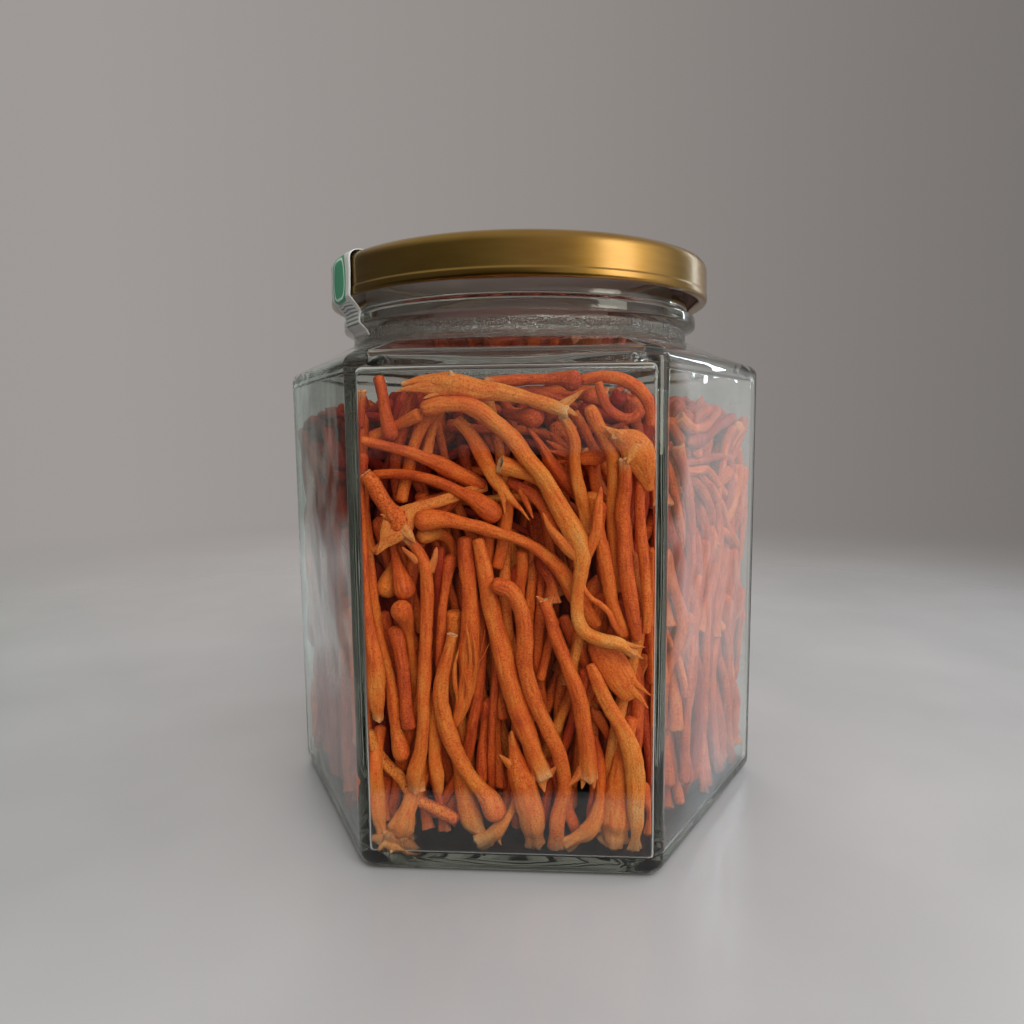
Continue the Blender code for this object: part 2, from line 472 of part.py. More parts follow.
def tube(name, centres, girths):
    """A closed tube of STEM_SIDES sides through the centres, rounded at its head and its foot."""
    count = len(centres)
    tangents = [(centres[min(i + 1, count - 1)] - centres[max(i - 1, 0)]).normalized() for i in range(count)]
    side = tangents[0].orthogonal().normalized()
    rings = []
    for centre, tangent, girth in zip(centres, tangents, girths):
        side = (side - tangent * side.dot(tangent)).normalized()
        up = tangent.cross(side)
        rings.append([centre + girth * (cos(a) * side + sin(a) * up)
                      for a in (2 * pi * k / STEM_SIDES for k in range(STEM_SIDES))])
    head = centres[0] - tangents[0] * girths[0] * HEAD_DOME
    foot = centres[-1] + tangents[-1] * girths[-1] * FOOT_DOME
    return loft(name, rings, head, foot)


def make_stems(mat, collection):
    points, girths, owner = [], [], []
    for index, (head_depth, foot_depth, route) in enumerate(STEMS.values()):
        points += laid_out(route, head_depth, foot_depth)
        girths += [girth for _, _, girth in route]
        owner += [index] * len(route)
    owner = np.array(owner)
    points = settle(np.array(points), np.array(girths), owner)
    for index, name in enumerate(STEMS):
        own = np.nonzero(owner == index)[0]
        centres = [Vector(points[i]) for i in own]
        add_object(name, tube(name, centres, [girths[i] for i in own]), mat, collection)


# ---------------------------------------------------------------- the rest of the pile
def make_pile(mat, collection):
    """The outer shape of the stems behind the front ones: the jar's plan cut off at PILE_FRONT."""
    def level(z, inset):
        ring = plan_ring(APOTHEM - WALL - GAP - inset, EDGE_RADIUS + 2, z)
        return [(x, max(y, PILE_FRONT + inset), z) for x, y, z in ring]

    def heaped(z, share):
        """Uneven top: the stems' ends stand higher near the middle and towards the back."""
        ring = level(z, 0.0)
        return [(x * share, y * share + 3.0 * (1 - share),
                 z + 1.6 * sin(0.11 * x + 1.0) * cos(0.13 * y) * (1 - share) * 2)
                for x, y, _ in ring]

    rings = [level(FLOOR + 1.0, 3.0), level(FLOOR + 3.5, 0.4), level(48.0, 0.0), level(86.0, 0.2),
             heaped(91.0, 0.94), heaped(93.2, 0.78), heaped(94.6, 0.5)]
    mesh = loft("stem_pile", rings, (0, 6, FLOOR + 0.9), (0, 6, 95.2))
    return add_object("stem_pile", mesh, mat, collection)


def main():
    for obj in list(bpy.data.objects):
        bpy.data.objects.remove(obj)
    collection = bpy.data.collections.new("cordyceps_jar")
    bpy.context.scene.collection.children.link(collection)
    glass = material("jar glass", (0.86, 0.91, 0.88), 0.02, transmission=1.0)
    gold = material("gold lacquered tinplate", (0.80, 0.58, 0.22), 0.28, metallic=1.0)
    compound = material("lid sealing compound", (0.85, 0.84, 0.80), 0.6)
    paper = material("seal paper", (0.85, 0.86, 0.84), 0.75)
    fungus = material("dried cordyceps", (0.58, 0.20, 0.05), 0.65)
    make_jar(glass, collection)
    make_lid(gold, collection)
    make_liner(compound, collection)
    make_seal(paper, collection)
    make_stems(fungus, collection)
    make_pile(fungus, collection)


main()
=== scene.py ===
"""Looks of a six-sided glass jar filled with dried cordyceps, closed by a gold lid and a paper seal.

Lengths are in millimetres, and MM turns them to metres where a mesh, a material or a lamp needs them. The
jar's foot stands on z = 0, its front side faces -Y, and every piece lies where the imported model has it.
"""
from math import atan2, ceil, cos, hypot, pi, radians, sin, tan
import bpy
import numpy as np
from mathutils import Matrix, Vector


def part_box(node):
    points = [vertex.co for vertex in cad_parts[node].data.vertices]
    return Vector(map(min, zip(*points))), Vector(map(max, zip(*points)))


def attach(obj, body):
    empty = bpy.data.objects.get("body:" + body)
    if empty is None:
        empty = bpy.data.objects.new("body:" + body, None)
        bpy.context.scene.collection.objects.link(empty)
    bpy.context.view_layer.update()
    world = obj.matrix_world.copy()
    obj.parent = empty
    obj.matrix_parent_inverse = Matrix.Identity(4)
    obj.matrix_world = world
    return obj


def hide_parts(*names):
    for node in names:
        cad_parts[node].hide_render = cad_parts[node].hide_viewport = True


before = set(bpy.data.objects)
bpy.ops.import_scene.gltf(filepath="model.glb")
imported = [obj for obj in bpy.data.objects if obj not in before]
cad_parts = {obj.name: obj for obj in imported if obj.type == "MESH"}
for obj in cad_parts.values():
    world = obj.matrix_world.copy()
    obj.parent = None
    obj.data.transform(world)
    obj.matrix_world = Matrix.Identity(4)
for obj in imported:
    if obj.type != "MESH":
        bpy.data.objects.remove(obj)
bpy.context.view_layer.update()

MM = 0.001

# ---------------------------------------------------------------- the jar
# A six-sided jar of clear soda-lime glass, pressed and blown in an iron mould. Its neck is round, with a
# transfer bead and a plain finish for a twist-off lid, and it stands on the rim round a shallow hollow.
jar_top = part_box("jar")[1] / MM
JAR_HALF = jar_top.y            # from the middle to the outside of a flat side
JAR_WALL = 2.3
JAR_FLOOR = 3.0
JAR_EDGE = 3.5                  # rounding of the upright edges outside
JAR_INSIDE_EDGE = 0.8           # sharper inside, so that the glass of a corner guides light round it
SHOULDER = 95.9                 # height where the side and the sloping shoulder would meet
NECK_FOOT = 100.8
NECK = 37.8
BEAD = 39.9
BEAD_HEIGHT = 105.2
MOUTH = 34.8
INSIDE = JAR_HALF - JAR_WALL
# (from the middle to the side, height, rounding of the bend, 0 hexagon to 1 circle, rounding of the edges)
JAR_PROFILE = [
    (28.0, 0.9, 0.0, 1.0, JAR_EDGE),
    (36.5, 0.9, 1.0, 0.6, JAR_EDGE),
    (40.5, 0.0, 1.6, 0.1, JAR_EDGE),
    (JAR_HALF, 0.0, 3.2, 0.0, JAR_EDGE),
    (JAR_HALF, SHOULDER, 3.0, 0.0, JAR_EDGE),
    (NECK, NECK_FOOT, 1.6, 1.0, JAR_EDGE),
    (NECK, BEAD_HEIGHT - 2.1, 0.7, 1.0, JAR_EDGE),
    (BEAD, BEAD_HEIGHT - 1.1, 0.8, 1.0, JAR_EDGE),
    (BEAD, BEAD_HEIGHT + 1.1, 0.8, 1.0, JAR_EDGE),
    (NECK + 0.3, BEAD_HEIGHT + 2.0, 0.7, 1.0, JAR_EDGE),
    (NECK + 0.3, jar_top.z, 1.3, 1.0, JAR_EDGE),
    (MOUTH, jar_top.z, 1.3, 1.0, JAR_EDGE),
    (MOUTH, NECK_FOOT + 0.3, 1.8, 1.0, JAR_INSIDE_EDGE),
    (INSIDE, SHOULDER - 2.6, 1.8, 0.0, JAR_INSIDE_EDGE),
    (INSIDE, JAR_FLOOR, 1.3, 0.0, JAR_INSIDE_EDGE),
    (20.0, JAR_FLOOR + 0.4, 0.0, 0.3, JAR_INSIDE_EDGE),
]
ARC_POINTS = 7
SIDE_POINTS = 15
LONGEST_STEP = 4.0
BLOWN = 0.07                    # how far the inside of a blown side waves in and out
STIPPLE = 101.2                 # height of the rough band that the mould leaves at the neck's foot
STIPPLE_REACH = (1.6, 2.2)      # up and down from there it is full to the first and gone at the second


def bent(profile, arc_points, longest):
    """The profile with each bend drawn as an arc of its rounding, and long slopes cut into short steps."""
    rows = [np.array(profile[0])]
    for before, at, after in zip(profile, profile[1:], profile[2:]):
        before, at, after = np.array(before), np.array(at), np.array(after)
        back, on = before - at, after - at
        reach_back, reach_on = hypot(*back[:2]), hypot(*on[:2])
        cosine = np.clip(back[:2] @ on[:2] / (reach_back * reach_on), -1.0, 1.0)
        half_turn = (pi - np.arccos(cosine)) / 2
        leg = min(at[2] * tan(half_turn), 0.48 * reach_back, 0.48 * reach_on)
        start, end = at + back * leg / reach_back, at + on * leg / reach_on
        for share in np.linspace(0.0, 1.0, arc_points):
            rows.append((1 - share) ** 2 * start + 2 * share * (1 - share) * at + share ** 2 * end)
    rows.append(np.array(profile[-1]))
    stepped = [rows[0]]
    for low, high in zip(rows, rows[1:]):
        steps = max(1, ceil(hypot(*(high - low)[:2]) / longest))
        stepped += [low + (high - low) * (step + 1) / steps for step in range(steps)]
    return stepped


def jar_level(half, z, roundness, edge):
    """One level of the jar's skin: a hexagon with rounded corners, drawn towards a circle by roundness."""
    corner_reach = (half - edge) / cos(pi / 6)

    def on_edge(corner, turn):
        return np.array((corner_reach * cos(corner) + edge * cos(corner + turn),
                         corner_reach * sin(corner) + edge * sin(corner + turn)))

    level = []
    for corner in (k * pi / 3 for k in range(6)):
        level += [on_edge(corner, turn) for turn in np.linspace(-pi / 6, pi / 6, ARC_POINTS)]
        last, following = level[-1], on_edge(corner + pi / 3, -pi / 6)
        guard = 0.008                # keeps the flat side flat right up to its rounded edge
        level += [last + share * (following - last)
                  for share in (guard, *np.linspace(0, 1, SIDE_POINTS)[1:-1], 1 - guard)]
    rounded = []
    for x, y in level:
        bearing = atan2(y, x)
        rounded.append((x + roundness * (half * cos(bearing) - x),
                        y + roundness * (half * sin(bearing) - y), z))
    return rounded


def make_mesh(name, points, faces, marks=None):
    """A smooth mesh from points in millimetres. Marks are values per point that a material reads by name."""
    mesh = bpy.data.meshes.new(name)
    mesh.vertices.add(len(points))
    mesh.vertices.foreach_set("co", (np.asarray(points, float) * MM).ravel())
    corners = np.concatenate([np.asarray(group).ravel() for group in faces])
    sizes = np.concatenate([np.full(len(group), len(group[0])) for group in faces])
    mesh.loops.add(len(corners))
    mesh.loops.foreach_set("vertex_index", corners.astype(np.int32))
    mesh.polygons.add(len(sizes))
    mesh.polygons.foreach_set("loop_start", (np.cumsum(sizes) - sizes).astype(np.int32))
    mesh.update(calc_edges=True)
    mesh.shade_smooth()
    for mark, values in (marks or {}).items():
        values = np.asarray(values, float)
        kind, field = ("FLOAT_VECTOR", "vector") if values.ndim == 2 else ("FLOAT", "value")
        mesh.attributes.new(mark, kind, "POINT").data.foreach_set(field, values.ravel())
    mesh.validate()
    obj = bpy.data.objects.new(name, mesh)
    bpy.context.scene.collection.objects.link(obj)
    return obj


def skin(rings):
    """Points and faces of a closed skin over rings of equally many points, with a fan at either end."""
    points = np.concatenate([np.asarray(ring, float) for ring in rings])
    around, levels = len(rings[0]), len(rings)
    low = np.arange(around * (levels - 1)).reshape(levels - 1, around)
    quads = np.stack([low, np.roll(low, -1, 1), np.roll(low, -1, 1) + around, low + around], -1)
    first, last = len(points), len(points) + 1
    points = np.vstack([points, np.mean(rings[0], axis=0), np.mean(rings[-1], axis=0)])
    ring = np.arange(around)
    top = ring + around * (levels - 1)
    return points, [quads.reshape(-1, 4),
                    np.stack([np.roll(ring, -1), ring, np.full(around, first)], -1),
                    np.stack([top, np.roll(top, -1), np.full(around, last)], -1)]


points, faces = skin([jar_level(half, z, roundness, edge) for half, z, _, roundness, edge
                      in bent(JAR_PROFILE, ARC_POINTS, LONGEST_STEP)])
x, y, z = points.T
# Only the flat sides inside wave, between 5 mm over the foot and 5 mm under the shoulder.
upright = (np.abs(z - SHOULDER / 2) < SHOULDER / 2 - 5) & (np.hypot(x, y) < JAR_HALF + 6)
to_side = np.max([x * sin(k * pi / 3) - y * cos(k * pi / 3) for k in range(6)], axis=0)
blown_side = upright & (np.abs(to_side - INSIDE) < 0.3)
wave = BLOWN * np.sin(x / 7 + 1) * np.sin(z / 11) * np.cos(y / 8)
points[blown_side, :2] *= (1 + wave[blown_side] / INSIDE)[:, None]
jar = make_mesh("jar_glass", points, faces)


def colour(hex_code):
    """A linear colour from an sRGB hex code."""
    shares = [int(hex_code[i:i + 2], 16) / 255 for i in (1, 3, 5)]
    return (*[s / 12.92 if s <= 0.04045 else ((s + 0.055) / 1.055) ** 2.4 for s in shares], 1.0)


def lay(tree, kind, sockets=None, stops=None, **settings):
    """Adds a node: its settings, each socket's value or the (node, output) that feeds it, a ramp's stops."""
    made = tree.nodes.new("ShaderNode" + kind)
    for setting, value in settings.items():
        setattr(made, setting, value)
    for socket, value in (sockets or {}).items():
        if isinstance(value, tuple) and isinstance(value[0], bpy.types.Node):
            tree.links.new(value[0].outputs[value[1]], made.inputs[socket])
        else:
            made.inputs[socket].default_value = value
    stops = tuple(stops or ())
    for index, (place, hex_code) in enumerate(stops[:1] + stops[-1:] + stops[1:-1]):
        ramp = made.color_ramp.elements
        stop = ramp[index] if index < 2 else ramp.new(place)      # a new ramp has its two end stops
        stop.position = place
        stop.color = colour(hex_code)
    return made


def new_material(name):
    """A material and its node tree, still empty."""
    made = bpy.data.materials.new(name)
    made.use_nodes = True
    made.node_tree.nodes.clear()
    return made, made.node_tree


# Soda-lime glass, moulded and fire-polished: clear and smooth, so that its thick edges show grey-green
# lines. The band under the bead is stippled by the mould, 0.6 mm apart, which gives it a sparkle. Light
# that falls on the stems goes straight through, a little less of it near the foot and under the shoulder.
glass, tree = new_material("soda-lime glass, moulded")
place = lay(tree, "TexCoord")
height = lay(tree, "SeparateXYZ", {"Vector": (place, "Object")})
from_band = lay(tree, "Math", {0: (height, "Z"), 1: STIPPLE * MM}, operation="SUBTRACT")
off_band = lay(tree, "Math", {0: (from_band, 0)}, operation="ABSOLUTE")
band = lay(tree, "MapRange", {"Value": (off_band, 0), "From Min": STIPPLE_REACH[0] * MM,
                              "From Max": STIPPLE_REACH[1] * MM, "To Min": 1.0, "To Max": 0.0})
dimples = lay(tree, "TexVoronoi", {"Vector": (place, "Object"), "Scale": 1 / (0.6 * MM)})
ripple = lay(tree, "TexNoise", {"Vector": (place, "Object"), "Scale": 1 / (14 * MM), "Detail": 1.0})
rough_band = lay(tree, "Math", {0: (dimples, "Distance"), 1: (band, 0)}, operation="MULTIPLY")
waves = lay(tree, "Bump", {"Height": (ripple, 0), "Strength": 0.09, "Distance": 1.0 * MM})
relief = lay(tree, "Bump", {"Height": (rough_band, 0), "Normal": (waves, 0),
                            "Strength": 1.0, "Distance": 0.45 * MM})
clear = lay(tree, "BsdfPrincipled", {"Base Color": colour("#f3f7f4"), "Roughness": 0.01, "IOR": 1.52,
                                     "Transmission Weight": 1.0, "Normal": (relief, 0)})
lamp_way = lay(tree, "LightPath")
straight = lay(tree, "Math", {0: (lamp_way, "Is Shadow Ray"), 1: (lamp_way, "Is Diffuse Ray")},
               operation="MAXIMUM")
level = lay(tree, "MapRange", {"Value": (height, "Z"), "From Max": jar_top.z * MM})
let_through = lay(tree, "ValToRGB", {"Fac": (level, 0)},
                  stops=((0.032, "#505050"), (0.08, "#f4f4f4"), (0.52, "#f4f4f4"), (1.0, "#e8e8e8")))
open_way = lay(tree, "BsdfTransparent", {"Color": (let_through, 0)})
either = lay(tree, "MixShader", {0: (straight, 0), 1: (clear, 0), 2: (open_way, 0)})
tint = lay(tree, "VolumeAbsorption", {"Color": colour("#a2a996"), "Density": 17.0})
lay(tree, "OutputMaterial", {"Surface": (either, 0), "Volume": (tint, 0)})
jar.data.materials.append(glass)
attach(jar, "root")
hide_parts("jar")

# ---------------------------------------------------------------- the lid
# A twist-off lid drawn from tinplate, lacquered gold outside and white inside. Its rim is curled inwards,
# and the curl is pressed in at four places into lugs that grip the glass.
lid_low, lid_high = (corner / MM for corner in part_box("lid"))
LID = lid_high.x
LID_SHEET = 0.4
LID_TOP = lid_high.z
LID_BOTTOM = lid_low.z
LUGS = 4
LUG_DEPTH = 1.0
PANEL = LID_TOP - 0.9           # the middle of the top is sunk below its rim
BUTTON = 15.0                   # radius of the flat button in the middle
LID_STEPS = 192
# (radius, height, rounding, pressed in at the lugs, 1 on the white inside)
LID_PROFILE = [
    (1.0, PANEL + 0.25, 0.0, 0.0, 0),
    (BUTTON, PANEL + 0.25, 0.5, 0.0, 0),
    (BUTTON + 1.2, PANEL, 0.5, 0.0, 0),
    (32.6, PANEL, 1.2, 0.0, 0),
    (34.8, LID_TOP, 1.2, 0.0, 0),
    (LID - 0.15, LID_TOP, 2.1, 0.0, 0),
    (LID - 0.15, LID_BOTTOM + 1.9, 0.8, 0.0, 0),
    (LID, LID_BOTTOM + 1.5, 0.5, 0.0, 0),
    (LID, LID_BOTTOM, 0.75, 0.15, 0),
    (LID - 1.75, LID_BOTTOM, 0.75, 1.0, 0),
    (LID - 1.75, LID_BOTTOM + 1.3, 0.5, 1.0, 0),
    (LID - 0.9, LID_BOTTOM + 1.3, 0.3, 0.5, 1),
    (LID - 0.15 - LID_SHEET, LID_BOTTOM + 2.3, 0.6, 0.0, 1),
    (LID - 0.15 - LID_SHEET, LID_TOP - LID_SHEET, 1.7, 0.0, 1),
    (35.0, LID_TOP - LID_SHEET, 0.8, 0.0, 1),
    (32.8, PANEL - LID_SHEET, 0.8, 0.0, 1),
    (1.0, PANEL - LID_SHEET, 0.0, 0.0, 1),
]
bearings = np.linspace(0, 2 * pi, LID_STEPS, endpoint=False)
pressed = np.clip(np.cos(LUGS * bearings) * 3 - 1.9, 0, 1)      # 1 in the middle of a lug, 0 between them
lid_rings, lining = [], []
for radius, z, _, at_lug, white in bent(LID_PROFILE, arc_points=6, longest=5.0):
    reach = radius - LUG_DEPTH * at_lug * pressed
    lid_rings.append(np.stack([reach * np.cos(bearings), reach * np.sin(bearings),
                               np.full(LID_STEPS, z)], -1))
    lining.append(np.full(LID_STEPS, white))
points, faces = skin(lid_rings[::-1])
lid = make_mesh("lid_gold", points, faces, {"lining": np.concatenate(lining[::-1] + [[1.0, 0.0]])})

# Tinplate, rolled and then roller-coated with gold lacquer: a satin metal. The lacquer's orange peel is
# 0.3 mm across, drawn at 0.45 mm, and long faint streaks run round the side from rolling and drawing.
gold, tree = new_material("tinplate, gold lacquered")
place = lay(tree, "TexCoord")
level = lay(tree, "Mapping", {"Vector": (place, "Object"), "Scale": (1.0, 1.0, 7.0)})
streaks = lay(tree, "TexNoise", {"Vector": (level, 0), "Scale": 1 / (9 * MM), "Detail": 4.0})
peel = lay(tree, "TexNoise", {"Vector": (place, "Object"), "Scale": 1 / (0.45 * MM), "Detail": 2.0})
clouds = lay(tree, "TexNoise", {"Vector": (place, "Object"), "Scale": 1 / (22 * MM), "Detail": 3.0})
shade = lay(tree, "ValToRGB", {"Fac": (streaks, 0)}, stops=((0.3, "#a27930"), (0.7, "#ad863c")))
worn = lay(tree, "Mix", {0: 0.2, 6: (shade, 0), 7: (clouds, "Color")}, data_type="RGBA",
           blend_type="SOFT_LIGHT")
satin = lay(tree, "MapRange", {"Value": (clouds, 0), "From Min": 0.25, "From Max": 0.75,
                               "To Min": 0.30, "To Max": 0.36})
drawn = lay(tree, "Bump", {"Height": (streaks, 0), "Strength": 0.04, "Distance": 0.1 * MM})
orange_peel = lay(tree, "Bump", {"Height": (peel, 0), "Normal": (drawn, 0), "Strength": 0.12,
                                 "Distance": 0.05 * MM})
lining = lay(tree, "Attribute", attribute_name="lining")
sided = lay(tree, "Mix", {0: (lining, "Fac"), 6: (worn, 2), 7: colour("#d6d3d2")}, data_type="RGBA")
bare = lay(tree, "Math", {0: 1.0, 1: (lining, "Fac")}, operation="SUBTRACT")
metal = lay(tree, "BsdfPrincipled", {"Base Color": (sided, 2), "Metallic": (bare, 0), "Roughness": (satin, 0),
                                     "Normal": (orange_peel, 0), "Coat Weight": 0.7,
                                     "Coat Roughness": 0.2})
lay(tree, "OutputMaterial", {"Surface": (metal, 0)})
lid.data.materials.append(gold)
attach(lid, "root")
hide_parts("lid")

# ---------------------------------------------------------------- the lid's sealing ring
# A ring of soft PVC compound, flowed into the lid and baked there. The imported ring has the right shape.
# The compound is off-white and dull, with faint flow marks 3 mm apart.
liner, tree = new_material("PVC compound, flowed in and baked")
place = lay(tree, "TexCoord")
flow = lay(tree, "TexNoise", {"Vector": (place, "Object"), "Scale": 1 / (3 * MM), "Detail": 3.0})
shade = lay(tree, "ValToRGB", {"Fac": (flow, 0)}, stops=((0.3, "#cfc9b6"), (0.7, "#e2ddcd")))
marks = lay(tree, "Bump", {"Height": (flow, 0), "Strength": 0.2, "Distance": 0.2 * MM})
soft = lay(tree, "BsdfPrincipled", {"Base Color": (shade, 0), "Roughness": 0.48, "Normal": (marks, 0)})
lay(tree, "OutputMaterial", {"Surface": (soft, 0)})
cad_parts["lid_liner"].material_slots[0].material = liner

# ---------------------------------------------------------------- the paper seal
# A strip of coated paper, printed, and glued over the lid and down to the neck, so that opening the jar
# tears it. It lies flat on the lid, bridges the gap to the bead, and ends on the neck.
SEAL_WIDTH = 11.8
SEAL_SHEET = 0.16
SEAL_BEARING = radians(-145.5)
OFF = 0.38                      # from the lid or glass to the middle of the paper
BUCKLE = 0.35                   # how far the paper buckles where it bridges the gap under the lid
COCKLE = 0.05                   # and how far it cockles where it is glued
NARROWED = 0.28                 # how much of its width is lost in the crease over the bead
# (from the middle of the jar, height, rounding)
SEAL_ROUTE = [
    (20.0, PANEL + OFF, 0.0),
    (31.0, PANEL + OFF, 2.0),
    (34.4, LID_TOP + OFF, 2.0),
    (LID + OFF, LID_TOP + OFF, 2.2),
    (LID + OFF, LID_BOTTOM - 0.2, 1.2),
    (BEAD + OFF, BEAD_HEIGHT + 1.2, 1.0),
    (BEAD + OFF, BEAD_HEIGHT - 0.9, 0.8),
    (NECK + 0.9, BEAD_HEIGHT - 2.4, 0.6),
    (NECK + 0.5, BEAD_HEIGHT - 3.4, 0.0),
]
SEAL_COLUMNS = 17
route = np.array(bent(SEAL_ROUTE, arc_points=7, longest=1.0))
gone = np.concatenate([[0], np.cumsum(np.hypot(*np.diff(route[:, :2], axis=0).T))])
across = np.linspace(-0.5, 0.5, SEAL_COLUMNS) * SEAL_WIDTH
turn = Matrix.Rotation(SEAL_BEARING, 3, "Z")
sheet, along_mark, across_mark = [], [], []
for (reach, z, _), done in zip(route, gone):
    bridging = np.clip((LID_BOTTOM - z) / 1.5, 0, 1) * np.clip((z - BEAD_HEIGHT - 0.5) / 2.0, 0, 1)
    narrow = 1 - NARROWED * np.clip((LID_BOTTOM + 1.0 - z) / 5.0, 0, 1)
    for step in across * narrow:
        lifted = bridging * BUCKLE * sin(step * 0.9 + 0.6) + COCKLE * sin(done * 0.8 + step * 0.5)
        bend = LID - (LID ** 2 - step ** 2) ** 0.5
        sheet.append(turn @ Vector((reach - bend + lifted, step, z)))
        along_mark.append(done)
        across_mark.append(step)
low = (np.arange(len(route) - 1)[:, None] * SEAL_COLUMNS + np.arange(SEAL_COLUMNS - 1)).ravel()
strip = [np.stack([low, low + SEAL_COLUMNS, low + SEAL_COLUMNS + 1, low + 1], -1)]
seal = make_mesh("paper_seal", sheet, strip, {"down_the_strip": along_mark, "across_the_strip": across_mark})
thick = seal.modifiers.new("sheet", "SOLIDIFY")
thick.thickness = SEAL_SHEET * MM
thick.offset = 0.0

# Coated paper, offset printed: white with a cool grey cast and fibres 0.4 mm apart that just show. The
# print is two plain green blocks with a thin inner line, on the lid's top and its side, then grey rules.
paper, tree = new_material("coated paper, printed")
place = lay(tree, "TexCoord")
down = lay(tree, "Attribute", attribute_name="down_the_strip")
over = lay(tree, "Attribute", attribute_name="across_the_strip")
fibres = lay(tree, "TexNoise", {"Vector": (place, "Object"), "Scale": 1 / (0.4 * MM), "Detail": 4.0})
stained = lay(tree, "TexNoise", {"Vector": (place, "Object"), "Scale": 1 / (5 * MM), "Detail": 3.0})
ground = lay(tree, "ValToRGB", {"Fac": (stained, 0)}, stops=((0.3, "#b9bdbc"), (0.7, "#cbcecb")))
GREEN_BLOCKS = (27.2, 8.0)      # how far down the strip the middle of each printed block is
BLOCK = (4.9, 3.9)              # half its length and half its width
ROUNDED = 4.0                   # the power that makes its outline a rectangle with rounded corners
INNER_LINE = (0.42, 0.1)        # place and half width, in that power: 0 in the middle, 1 at the outline
RULES = (32.2, 37.6)            # where the grey rules start and end
RULE_PITCH = 0.8
RULE_WIDTH = 0.42               # as a share of the pitch
RULE_REACH = 3.6                # half the length of a rule
inks = (ground, 0)
for middle in GREEN_BLOCKS:
    from_middle = lay(tree, "Math", {0: (down, "Fac"), 1: middle}, operation="SUBTRACT")
    powers = []
    for distance, half_size in zip(((from_middle, 0), (over, "Fac")), BLOCK):
        share = lay(tree, "Math", {0: distance, 1: half_size}, operation="DIVIDE")
        powers.append((lay(tree, "Math", {0: (share, 0), 1: ROUNDED}, operation="POWER"), 0))
    field = lay(tree, "Math", dict(enumerate(powers)), operation="ADD")
    block = lay(tree, "MapRange", {"Value": (field, 0), "From Min": 0.95, "From Max": 1.05,
                                   "To Min": 0.92, "To Max": 0.0})
    line = lay(tree, "Math", {0: (field, 0), 1: INNER_LINE[0], 2: INNER_LINE[1]}, operation="COMPARE")
    green = lay(tree, "Mix", {0: (line, 0), 6: colour("#2f8f68"), 7: colour("#c9dfd3")}, data_type="RGBA")
    inks = (lay(tree, "Mix", {0: (block, 0), 6: inks, 7: (green, 2)}, data_type="RGBA"), 2)
counted = lay(tree, "Math", {0: (down, "Fac"), 1: RULE_PITCH}, operation="DIVIDE")
phase = lay(tree, "Math", {0: (counted, 0)}, operation="FRACT")
from_axis = lay(tree, "Math", {0: (over, "Fac")}, operation="ABSOLUTE")
rule_ink = 0.75
for value, test, limit in (((phase, 0), "LESS_THAN", RULE_WIDTH),
                           ((down, "Fac"), "GREATER_THAN", RULES[0]),
                           ((down, "Fac"), "LESS_THAN", RULES[1]),
                           ((from_axis, 0), "LESS_THAN", RULE_REACH)):
    on_rule = lay(tree, "Math", {0: value, 1: limit}, operation=test)
    rule_ink = (lay(tree, "Math", {0: rule_ink, 1: (on_rule, 0)}, operation="MULTIPLY"), 0)
printed = lay(tree, "Mix", {0: rule_ink, 6: inks, 7: colour("#4a4e50")}, data_type="RGBA")
felt = lay(tree, "Bump", {"Height": (fibres, 0), "Strength": 0.25, "Distance": 0.06 * MM})
coated = lay(tree, "BsdfPrincipled", {"Base Color": (printed, 2), "Roughness": 0.55, "Normal": (felt, 0)})
lay(tree, "OutputMaterial", {"Surface": (coated, 0)})
seal.data.materials.append(paper)
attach(seal, "root")
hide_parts("seal_strip")

# ---------------------------------------------------------------- the stems behind the front side
# Fruit bodies of cordyceps, cut off their bed and dried whole: a club or a pointed tip above, a wrinkled
# stalk, and a pale torn foot. They lie loose in the jar, and each follows the line of its packed stem.
EYE = np.array((10.5, -177.3, 82.0))      # where the jar is looked at from
FRONT = -42.0                             # the plane at which places below are read
RING_SIDES = 6                            # sides of a packed stem
